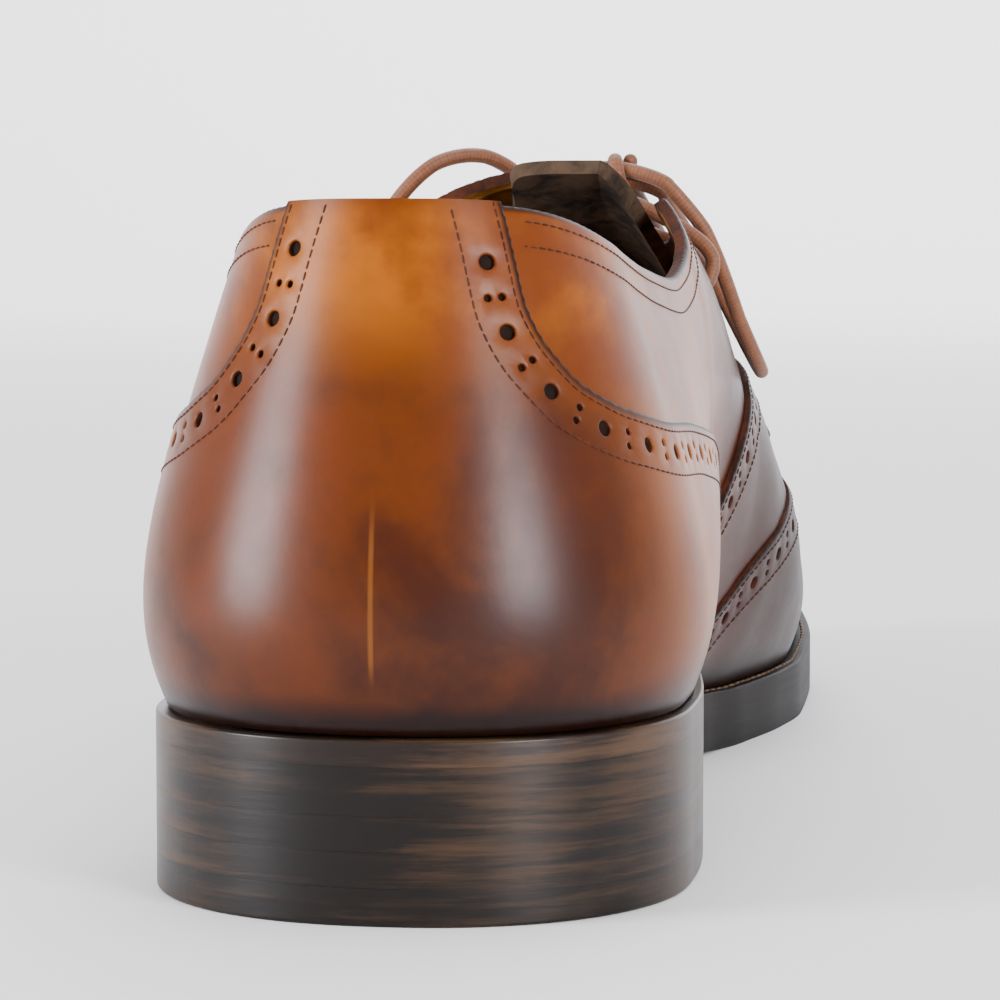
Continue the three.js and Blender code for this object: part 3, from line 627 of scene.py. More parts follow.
def resample(line: np.ndarray, spacing: float) -> np.ndarray:
    """The same line with its points evenly spaced, its two ends kept.

    Args:
        line: the line's points.
        spacing: how far apart the new ones lie, about.

    Returns:
        The new points.
    """
    gone = np.concatenate([[0], np.cumsum(np.linalg.norm(np.diff(line, axis=0), axis=1))])
    count = max(2, int(round(gone[-1] / spacing)) + 1)
    at = np.linspace(0, gone[-1], count)
    return np.stack([np.interp(at, gone, line[:, k]) for k in range(line.shape[1])], axis=1)


def edge_drop(away: np.ndarray, radius: float) -> np.ndarray:
    """How far a rounded edge lies below its face, at a distance from the rim."""
    return radius - np.sqrt(np.maximum(radius**2 - np.maximum(radius - away, 0) ** 2, 0))


def band(low: int, high: int, count: int) -> list[tuple[int, int, int, int]]:
    """The faces between two rings of count points, from the first point of each."""
    return [(low + i, low + (i + 1) % count, high + (i + 1) % count, high + i) for i in range(count)]


class Workshop:
    """Makes pieces in the row's frame and hangs them on the shoe's one body."""

    def __init__(self) -> None:
        """Finds where the heel's back stands in the row's frame."""
        low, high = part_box("heel_top_piece")
        self.origin = np.array([(low.x + high.x) / 2, low.y, 0.0])
        LOG.info("back of the sole at %s", self.origin)

    def place(self, points: np.ndarray) -> np.ndarray:
        """Millimetres from the back of the sole to metres in the row's frame."""
        return np.asarray(points, float) * MM + self.origin

    def piece(self, name: str, points: np.ndarray, faces: Iterable[Sequence[int]]) -> bpy.types.Object:
        """An object of these points and faces.

        Args:
            name: the piece's name.
            points: rows of x, y, z in millimetres.
            faces: the corners of each face.

        Returns:
            The new object, selected and active.
        """
        mesh = bpy.data.meshes.new(name)
        mesh.from_pydata(self.place(points).tolist(), [], [list(face) for face in faces])
        obj = bpy.data.objects.new(name, mesh)
        bpy.context.scene.collection.objects.link(obj)
        self.only(obj)
        return obj

    def only(self, obj: bpy.types.Object) -> None:
        """Selects this object alone and makes it the active one.

        Args:
            obj: the object.
        """
        bpy.ops.object.select_all(action="DESELECT")
        obj.select_set(True)
        bpy.context.view_layer.objects.active = obj

    def weld(self, obj: bpy.types.Object, distance: float = 2e-5) -> None:
        """Joins points that lie together and smooths the shading.

        Args:
            obj: the piece.
            distance: how close the points lie, in metres.
        """
        self.only(obj)
        bpy.ops.object.mode_set(mode="EDIT")
        bpy.ops.mesh.select_all(action="SELECT")
        bpy.ops.mesh.remove_doubles(threshold=distance)
        bpy.ops.mesh.dissolve_degenerate(threshold=1e-6)
        bpy.ops.object.mode_set(mode="OBJECT")
        bpy.ops.object.shade_smooth()

    def outward(self, obj: bpy.types.Object) -> None:
        """Turns all faces of a closed piece outwards.

        Args:
            obj: the piece.
        """
        self.only(obj)
        bpy.ops.object.mode_set(mode="EDIT")
        bpy.ops.mesh.select_all(action="SELECT")
        bpy.ops.mesh.normals_make_consistent(inside=False)
        bpy.ops.object.mode_set(mode="OBJECT")

    def modify(self, obj: bpy.types.Object, kind: str, **settings: object) -> None:
        """Adds a modifier with these settings and applies it.

        Args:
            obj: the piece.
            kind: the modifier's type.
            settings: its settings by name.
        """
        self.only(obj)
        modifier = obj.modifiers.new(kind.lower(), kind)
        for key, value in settings.items():
            setattr(modifier, key, value)
        bpy.ops.object.modifier_apply(modifier=modifier.name)

    def note(self, obj: bpy.types.Object, **measures: np.ndarray) -> None:
        """Keeps measures on a piece's points, for its material to read.

        Args:
            obj: the piece.
            measures: a number for each point, by name.
        """
        for name, values in measures.items():
            attribute = obj.data.attributes.new(name, "FLOAT", "POINT")
            attribute.data.foreach_set("value", values.astype(np.float32))

    def dress(self, obj: bpy.types.Object, materials: Sequence[bpy.types.Material], slot: str,
              *nodes: str) -> bpy.types.Object:
        """Gives a piece its materials, hangs it on the shoe and hides what it stands for.

        Args:
            obj: the finished piece.
            materials: its materials, by index.
            slot: the record's material slot; not used.
            nodes: the construction nodes that it replaces.

        Returns:
            The piece.
        """
        for material in materials:
            obj.data.materials.append(material)
        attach(obj, BODY)
        if nodes:
            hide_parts(*nodes)
        count = len(obj.data.polygons) if obj.type == "MESH" else 0
        LOG.info("%s: %d faces", obj.name, count)
        return obj


@dataclass(frozen=True)
class Holes:
    """A row of punched holes along a cut's free edge: large ones with small pairs between."""

    inset: float = 4.1
    pitch: float = 9.4
    large: float = 1.05
    small: float = 0.5
    pair: float = 1.9


@dataclass
class Line:
    """A stretch of a panel's outline, in foot and rise, and whether it is a free edge."""

    points: np.ndarray
    free: bool


@dataclass
class Panel:
    """A piece of leather of the upper, cut flat, punched and laid over the last.

    Its flat cut is measured along the outline of the wall's foot and in rise times a wall's usual
    height, once for each side. The two sides are joined at the back, the crest and the tip.
    """

    name: str
    lines: list[Line]
    top: float
    thickness: float
    spacing: float = 2.0
    edge_radius: float = 0.5
    holes: Optional[Holes] = None
    eyelets: Optional[Callable[[Side], list[tuple[float, float]]]] = None
    eyelet_radius: float = 1.5
    wall_height: float = 75.0
    edge_rows: tuple[float, ...] = (0.12, 0.4, 1.0, 1.8)
    hole_rows: tuple[float, ...] = (0.1, 0.28)
    hole_round: float = 0.25
    shade_disc_reach: float = 0.25
    shade_disc_lift: float = 0.12
    hole_places: list[np.ndarray] = field(default_factory=list)
    edges: list[tuple[Side, np.ndarray]] = field(default_factory=list)
    measures: list[np.ndarray] = field(default_factory=list)

    def to_flat(self, line: np.ndarray) -> np.ndarray:
        """From foot and rise to the flat cut."""
        foot, gone = girth(LAST)
        return np.column_stack([np.interp(line[:, 0], foot, gone), line[:, 1] * self.wall_height])

    def foot_rise(self, flat: np.ndarray) -> tuple[np.ndarray, np.ndarray]:
        """From the flat cut to foot and rise."""
        foot, gone = girth(LAST)
        return np.interp(flat[:, 0], gone, foot), flat[:, 1] / self.wall_height

    def to_last(self, flat: np.ndarray, side: Side, offset: np.ndarray = 0) -> np.ndarray:
        """From the flat cut to the last, where the outline's own places are met exactly.

        Args:
            flat: points of the flat cut.
            side: which side of the shoe.
            offset: how far outwards.

        Returns:
            Rows of x, y, z in millimetres.
        """
        foot, rise = self.foot_rise(flat)
        for place in (LAST.foot_start, LAST.foot_end):
            foot = np.where(np.abs(foot - place) < 2e-3, place, foot)
        for place in (0.0, 1.0):
            rise = np.where(np.abs(rise - place) < 5e-5, place, rise)
        return relieved(side, foot, rise, offset)

    def stretch(self, flat: np.ndarray, side: Side) -> tuple[np.ndarray, np.ndarray]:
        """How the last stretches the flat cut at each point, as the two rates along its axes.

        Args:
            flat: points of the flat cut.
            side: which side of the shoe.

        Returns:
            The two rates, as rows of x, y, z.
        """
        step = 0.2
        here = self.to_last(flat, side)
        along = (self.to_last(flat + [step, 0], side) - self.to_last(flat - [step, 0], side)) / (2 * step)
        low = flat - [0, step]
        up = (here - self.to_last(low, side)) / step
        return along, up

    def moved(self, flat: np.ndarray, side: Side, way: np.ndarray, length: float) -> np.ndarray:
        """Points moved in the flat cut so that they lie a true length away on the last.

        Args:
            flat: points of the flat cut.
            side: which side of the shoe they are on.
            way: unit directions in the flat cut.
            length: how far away, in millimetres on the last.

        Returns:
            The moved points.
        """
        along, up = self.stretch(flat, side)
        true = np.linalg.norm(along * way[:, :1] + up * way[:, 1:], axis=1)
        return flat + way * (length / np.maximum(true, 0.2))[:, None]

    def inwards(self, line: np.ndarray, side: Side, length: float) -> np.ndarray:
        """A line drawn in from a free edge by a true length, the panel lying on its left.

        Args:
            line: the edge's points in the flat cut.
            side: which side of the shoe.
            length: how far in, in millimetres on the last.

        Returns:
            The drawn line.
        """
        ahead = np.gradient(line, axis=0)
        ahead /= np.maximum(np.linalg.norm(ahead, axis=1, keepdims=True), 1e-9)
        way = np.stack([-ahead[:, 1], ahead[:, 0]], axis=1)
        return self.moved(line, side, way, length)

    def ring(self, centre: np.ndarray, side: Side, radius: float, count: int) -> np.ndarray:
        """A circle on the last round a point, as points of the flat cut.

        Args:
            centre: the circle's middle in the flat cut.
            side: which side of the shoe.
            radius: in millimetres on the last.
            count: how many points.

        Returns:
            The points.
        """
        along, up = self.stretch(centre[None], side)
        basis = np.stack([along[0], up[0]], axis=1)
        first = along[0] / np.linalg.norm(along[0])
        second = up[0] - first * (up[0] @ first)
        second /= np.linalg.norm(second)
        turn = np.arange(count) * 2 * math.pi / count
        wanted = radius * (np.outer(np.cos(turn), first) + np.outer(np.sin(turn), second))
        moves = np.linalg.lstsq(basis, wanted.T, rcond=None)[0]
        return centre + moves.T

    def corners(self, radius: float) -> int:
        """How many corners a punched hole of this radius has."""
        return 16 if radius > 0.8 else 10

    def row(self, line: np.ndarray, side: Side) -> list[tuple[np.ndarray, float]]:
        """The punched row along a free edge, as centres in the flat cut and radii.

        Args:
            line: the edge's points in the flat cut.
            side: which side of the shoe.

        Returns:
            The centre and radius of each hole.
        """
        holes = self.holes
        middle = self.inwards(line, side, holes.inset)
        true = self.to_last(middle, side)
        gone = np.concatenate([[0], np.cumsum(np.linalg.norm(np.diff(true, axis=0), axis=1))])
        found = []

        def at(length: float, drawn: float) -> np.ndarray:
            """The point a length along the row and to one side of it.

            Args:
                length: how far along the row.
                drawn: how far to its left.

            Returns:
                The point in the flat cut.
            """
            centre = np.array([np.interp(length, gone, middle[:, k]) for k in range(2)])
            ahead = np.array([np.interp(length + 0.5, gone, middle[:, k]) for k in range(2)]) - centre
            way = np.array([-ahead[1], ahead[0]]) / max(np.linalg.norm(ahead), 1e-9)
            return self.moved(centre[None], side, way[None], drawn)[0]

        count = int((gone[-1] - holes.pitch) / holes.pitch) + 1
        start = (gone[-1] - (count - 1) * holes.pitch) / 2
        for i in range(count):
            length = start + i * holes.pitch
            found.append((at(length, 0), holes.large))
            if i + 1 < count:
                for drawn in (-holes.pair / 2, holes.pair / 2):
                    found.append((at(length + holes.pitch / 2, drawn), holes.small))
        return found

    def side_cut(self, side: Side) -> tuple[np.ndarray, list[list[int]]]:
        """One side's points on the last and its faces, and keeps its edges and holes.

        Args:
            side: which side of the shoe.

        Returns:
            The points of its outer and its inner skin, in millimetres, and the triangles of one.
        """
        lines = [Line(resample(self.to_flat(line.points), 1.0), line.free) for line in self.lines]
        outline = np.concatenate([line.points[:-1] for line in lines])
        eyelets = self.eyelets(side) if self.eyelets else []
        punched = [(self.to_flat(np.array([place]))[0], self.eyelet_radius) for place in eyelets]
        for line in lines:
            if not line.free:
                continue
            self.edges.append((side, line.points))
            if self.holes:
                punched += self.row(line.points, side)
        low = outline[:, 1].min()
        punched = [(centre, radius) for centre, radius in punched
                   if centre[1] > low + 3 and inside(centre[None], outline)[0]]
        loops = [self.ring(centre, side, radius, self.corners(radius)) for centre, radius in punched]
        loops = [loop for loop in loops if inside(loop, outline).all()]
        extra = [np.zeros((0, 2))]
        for line in lines:
            if line.free:
                extra += [self.inwards(line.points, side, d * self.edge_radius) for d in self.edge_rows]
        for centre, radius in punched:
            extra += [self.ring(centre, side, radius + d, self.corners(radius)) for d in self.hole_rows]
        extra = np.concatenate(extra)
        free = [line.points for line in lines if line.free]
        if len(extra) and len(free):
            clear, _ = nearest(extra, outline)
            extra = extra[clear > 0.03]
        if len(extra) and loops:
            clear, _ = nearest(extra, np.concatenate(loops))
            extra = extra[clear > 0.05]
            for loop in loops:
                extra = extra[~inside(extra, loop)]
        cut = cut_out(outline, loops, self.spacing, extra)
        flat = cut.points
        middle = self.to_last(flat, side, 0)
        away = np.full(len(flat), 99.0)
        if free:
            rim = self.to_last(resample(np.concatenate(free), 0.4), side, 0)
            away, _ = nearest(middle, rim)
        drop = edge_drop(away, self.edge_radius)
        if loops:
            near, _ = nearest(middle, self.to_last(np.concatenate(loops), side, 0))
            drop = np.maximum(drop, edge_drop(near, self.hole_round))
        # rings for the dark discs under each hole, painted shade
        for centre, radius in punched:
            ring = self.ring(centre, side, radius + self.shade_disc_reach, 10)
            self.hole_places.append(self.to_last(ring, side, self.top - self.thickness + self.shade_disc_lift))
        self.measures.append(np.stack([away, *self.foot_rise(flat)], axis=1))
        faces = cut.triangles if side is Side.INNER else [face[::-1] for face in cut.triangles]
        skins = [self.to_last(flat, side, offset) for offset in (self.top - drop, self.top - self.thickness)]
        return np.stack(skins), faces

    def build(self, shop: Workshop) -> bpy.types.Object:
        """The panel as one object, with its thickness, and its measures kept on its points.

        Args:
            shop: the workshop.

        Returns:
            The closed piece of leather.
        """
        skins, faces, start = [], [], 0
        for side in Side:
            here, triangles = self.side_cut(side)
            skins.append(here)
            faces += [[start + i for i in face] for face in triangles]
            start += here.shape[1]
        outer, inner = np.concatenate(skins, axis=1)
        grid = np.round(outer / MERGE).astype(int)
        _, first, back = np.unique(grid, axis=0, return_index=True, return_inverse=True)
        outer, inner, back = outer[first], inner[first], back.ravel()
        faces = [tuple(int(back[i]) for i in face) for face in faces]
        faces = [face for face in faces if len(set(face)) == 3]
        count = len(outer)
        ways = {(face[k - 1], face[k]) for face in faces for k in range(3)}
        rim = [(b, a, a + count, b + count) for a, b in ways if (b, a) not in ways]
        lining = [tuple(i + count for i in face[::-1]) for face in faces]
        obj = shop.piece(self.name, np.concatenate([outer, inner]), faces + sorted(rim) + lining)
        obj.data.polygons.foreach_set("material_index", [0] * len(faces) + [2] * len(rim) + [1] * len(lining))
        edge, foot, rise = np.tile(np.concatenate(self.measures)[first], (2, 1)).T
        shop.note(obj, edge_mm=edge, foot_mm=foot, rise=rise)
        shop.weld(obj)
        bpy.ops.object.shade_smooth_by_angle(angle=SHARP)
        return obj


@dataclass(frozen=True)
class Crease:
    """A soft trough that walking has pressed across the vamp."""

    at: float
    slant: float
    depth: float
    width: float


CREASES = (
    Crease(at=0.655, slant=0.05, depth=0.32, width=3.4),
    Crease(at=0.69, slant=0.035, depth=0.22, width=2.6),
    Crease(at=0.622, slant=0.075, depth=0.26, width=3.0),
)


def relief(foot: np.ndarray, rise: np.ndarray) -> np.ndarray:
    """How far wear has moved the leather outwards from the last, in millimetres.

    Args:
        foot: places along the sole.
        rise: how far up the wall, 0 to 1.

    Returns:
        How far out each place has moved.
    """
    moved = np.zeros(np.shape(foot))
    high = smooth(rise, 0.35, 0.85)
    for crease in CREASES:
        middle = (crease.at - crease.slant * (1 - rise)) * LAST.sole_length
        away = (foot - middle) / crease.width
        moved = moved - crease.depth * np.exp(-away**2) * high
        moved = moved + 0.45 * crease.depth * np.exp(-((np.abs(away) - 1.9) / 0.9) ** 2) * high
    return moved


def relieved(side: Side, foot: np.ndarray, rise: np.ndarray, offset: np.ndarray = 0) -> np.ndarray:
    """Points of the worn surface of the upper, moved outwards by offset."""
    return LAST.surface(side.value, foot, rise, offset + relief(foot, rise))


def sole_loop(reach: float, spacing: float) -> np.ndarray:
    """The sole's outline as far forward as reach, counter-clockwise from its back.

    Args:
        reach: how far along the shoe the outline goes.
        spacing: how far apart its points lie.

    Returns:
        Rows of x and y in millimetres.
    """
    whole = reach >= LAST.sole_length
    turn = np.linspace(0, math.pi if whole else math.pi / 2, 900)
    y = reach * ((1 - np.cos(turn)) / 2 if whole else 1 - np.cos(turn))
    inner = np.stack([LAST.edge_x(1, y, 0), y], axis=1)
    outer = np.stack([LAST.edge_x(-1, y, 0), y], axis=1)[::-1]
    if whole:
        return resample(np.concatenate([inner, outer[1:]]), spacing)[:-1]
    arms = (inner, np.stack([inner[-1], outer[0]]), outer)
    return np.concatenate([resample(arm, spacing)[:-1] for arm in arms])


def drawn_in(loop: np.ndarray, inset: float) -> np.ndarray:
    """A counter-clockwise outline drawn in by inset all the way round.

    Args:
        loop: rows of x and y.
        inset: how far, in millimetres.

    Returns:
        The new rows.
    """
    ahead = np.roll(loop, -1, axis=0) - np.roll(loop, 1, axis=0)
    ahead /= np.linalg.norm(ahead, axis=1, keepdims=True)
    return loop + inset * np.stack([-ahead[:, 1], ahead[:, 0]], axis=1)


@dataclass
class Plate:
    """A flat or curved plate of the shoe's bottom, with its rounded edge given as a profile."""

    name: str
    reach: float
    profile: Sequence[tuple[float, float]]
    under: Callable[[np.ndarray], np.ndarray]
    spacing: float = 1.3
    closed: bool = True

    def build(self, shop: Workshop) -> bpy.types.Object:
        """The plate as a closed mesh.

        Args:
            shop: the workshop.

        Returns:
            The plate.
        """
        loop = sole_loop(self.reach, self.spacing)
        count = len(loop)
        points, faces = [], []
        for inset, height in self.profile:
            ring = drawn_in(loop, inset)
            points.append(np.column_stack([ring, self.under(ring[:, 1]) + height]))
        rings = len(points)
        for r in range(rings - 1 if self.closed else rings):
            faces += band(r * count, (r + 1) % rings * count, count)
        start = rings * count
        if self.closed:
            for which in (0, -1):
                inset, height = self.profile[which]
                cap = cut_out(points[which][:, :2], [], 4.0, np.zeros((0, 2)))
                points.append(np.column_stack([cap.points, self.under(cap.points[:, 1]) + height]))
                faces += [[start + i for i in (face if which else face[::-1])] for face in cap.triangles]
                start += len(cap.points)
        obj = shop.piece(self.name, np.concatenate(points), faces)
        shop.weld(obj)
        shop.modify(obj, "WEIGHTED_NORMAL", keep_sharp=False, weight=90)
        return obj


def rounded_edge(height: float, low: float, high: float) -> list[tuple[float, float]]:
    """The profile of a plate, from its lower cap to its upper, its two edges rounded by low and high.

    Args:
        height: the plate's thickness.
        low: the radius at its lower edge.
        high: the radius at its upper edge.

    Returns:
        Rows of inset and height.
    """
    turn = np.linspace(0, math.pi / 2, 4)
    lower = [(low * (1 - math.sin(a)), low * (1 - math.cos(a))) for a in turn]
    upper = [(high * (1 - math.cos(a)), height - high * (1 - math.sin(a))) for a in turn]
    return [(low * 3, 0.0), *lower, *upper, (high * 3, height)]


def flat_face(height: float, y: np.ndarray) -> np.ndarray:
    """A level face's height at each y."""
    return np.full(np.shape(y), height)


@dataclass
class Bottom:
    """The heel, the outsole, the welt and the insole."""

    tread_round: float = 0.5
    joint_round: float = 0.03
    welt_tuck: float = 7.0
    welt_round: float = 0.45
    stitch_inset: float = 1.5
    stitch_start: float = 70.0
    insole_inset: float = 2.9
    insole_thickness: float = 2.6

    def build(self, shop: Workshop, looks: "Looks") -> None:
        """Makes and dresses every piece of the bottom.

        Args:
            shop: the workshop.
            looks: the shoe's finishes.
        """
        edge = rounded_edge(LAST.top_piece, self.tread_round, self.joint_round)
        top_piece = Plate("heel_top", LAST.heel_length, edge, partial(flat_face, 0.0))
        shop.dress(top_piece.build(shop), [looks.top_piece], "dark_rubber", "heel_top_piece")
        for i in range(LAST.lifts):
            level = LAST.top_piece + i * LAST.lift
            edge = rounded_edge(LAST.lift, self.joint_round, self.joint_round)
            lift = Plate(f"heel_stack_{i + 1}", LAST.heel_length, edge, partial(flat_face, level))
            shop.dress(lift.build(shop), [looks.stacked], "sole_leather", f"heel_lift_{i + 1}")
        edge = rounded_edge(LAST.outsole + LAST.seam, self.joint_round, self.joint_round)
        sole = Plate("sole", LAST.sole_length, edge, LAST.underside)
        shop.dress(sole.build(shop), [looks.sole], "sole_leather", "outsole")
        edge = rounded_edge(LAST.welt, self.joint_round, self.welt_round)
        tuck = self.welt_tuck
        profile = [(x, z + LAST.seam) for x, z in [(tuck, 0), *edge, (tuck, LAST.welt)]]
        rand = Plate("welt_strip", LAST.sole_length, profile, LAST.outsole_top, closed=False)
        shop.dress(rand.build(shop), [looks.welt], "sole_leather", "welt")
        shop.dress(self.sock(shop), [looks.insole], "insole_leather", "insole")
        shop.dress(self.welt_stitches(shop), [looks.welt_thread], "sole_leather")

    def welt_stitches(self, shop: Workshop) -> bpy.types.Object:
        """The row of stitches along the top of the welt, round the forepart.

        Args:
            shop: the workshop.

        Returns:
            The stitches as one piece.
        """
        loop = drawn_in(sole_loop(LAST.sole_length, 0.8), self.stitch_inset)
        start = int(np.argmin(loop[:, 1]))
        loop = np.roll(loop, -start, axis=0)
        loop = loop[loop[:, 1] > self.stitch_start]
        height = LAST.outsole_top(loop[:, 1]) + LAST.seam + LAST.welt
        thread = Thread(pitch=2.7, length=2.25, radius=0.3)
        thread.row(np.column_stack([loop, height]), np.tile([0.0, 0.0, 1.0], (len(loop), 1)))
        return thread.build(shop, "welt_stitches")

    def sock(self, shop: Workshop) -> bpy.types.Object:
        """The insole with its sock, cut to the inside of the wall.

        Args:
            shop: the workshop.

        Returns:
            The insole.
        """
        inset, ends = self.insole_inset, LAST.foot_start + self.insole_inset
        top = LAST.foot_end - self.insole_inset
        turn = np.linspace(0, math.pi, 500)
        y = ends + (top - ends) * (1 - np.cos(turn)) / 2
        sole_y = LAST.to_sole(y, ends, top)
        drawn = LAST.foot_inset(y) + inset
        inner, outer = (np.stack([LAST.edge_x(side.value, sole_y, drawn), y], axis=1) for side in Side)
        loop = resample(np.concatenate([inner, outer[::-1][1:]]), 2.0)[:-1]
        cut = cut_out(loop, [], 3.0, np.zeros((0, 2)))
        y = cut.points[:, 1]
        obj = shop.piece("sock", np.column_stack([cut.points, LAST.foot_height(y) + self.insole_thickness]),
                         cut.triangles)
        shop.weld(obj)
        shop.modify(obj, "SOLIDIFY", thickness=self.insole_thickness * MM, offset=-1)
        shop.modify(obj, "BEVEL", width=0.6 * MM, segments=2, limit_method="ANGLE", angle_limit=1.0)
        bpy.ops.object.shade_smooth()
        return obj


def crest_line(start: float, end: float, rise: float) -> np.ndarray:
    """A line of the outline along the shoe at one rise.

    Args:
        start: its first place along the sole.
        end: its last.
        rise: how far up the wall, 0 to 1.

    Returns:
        Rows of foot and rise.
    """
    foot = np.linspace(start, end, 400)
    return np.stack([foot, np.full(400, rise)], axis=1)


def wall_line(foot: float, low: float, high: float) -> np.ndarray:
    """A line of the outline up or down one wall."""
    return np.stack([np.full(120, foot), np.linspace(low, high, 120)], axis=1)


def edge_line(edge: Curve, low: float, high: float, moved: float = 0.0) -> np.ndarray:
    """A line of the outline that follows a panel's edge, given by its place for each rise.

    Args:
        edge: the panel's edge.
        low: the first rise.
        high: the last.
        moved: how far forward the line is moved.

    Returns:
        Rows of foot and rise.
    """
    rise = np.linspace(low, high, 240)
    return np.stack([edge(rise) * LAST.sole_length + moved, rise], axis=1)


def counter_line() -> np.ndarray:
    """The counter's upper edge, from the sole back and up to the topline.

    Returns:
        Rows of foot and rise.
    """
    foot = np.concatenate([np.linspace(0.36, 0.05, 400), np.linspace(0.0499, 0.015, 600)])
    rise = COUNTER_EDGE(foot)
    kept = (rise > 0) & (rise < 1)
    line = np.stack([foot[kept] * LAST.sole_length, rise[kept]], axis=1)
    return np.concatenate([[[line[0, 0], 0.0]], line, [[line[-1, 0], 1.0]]])


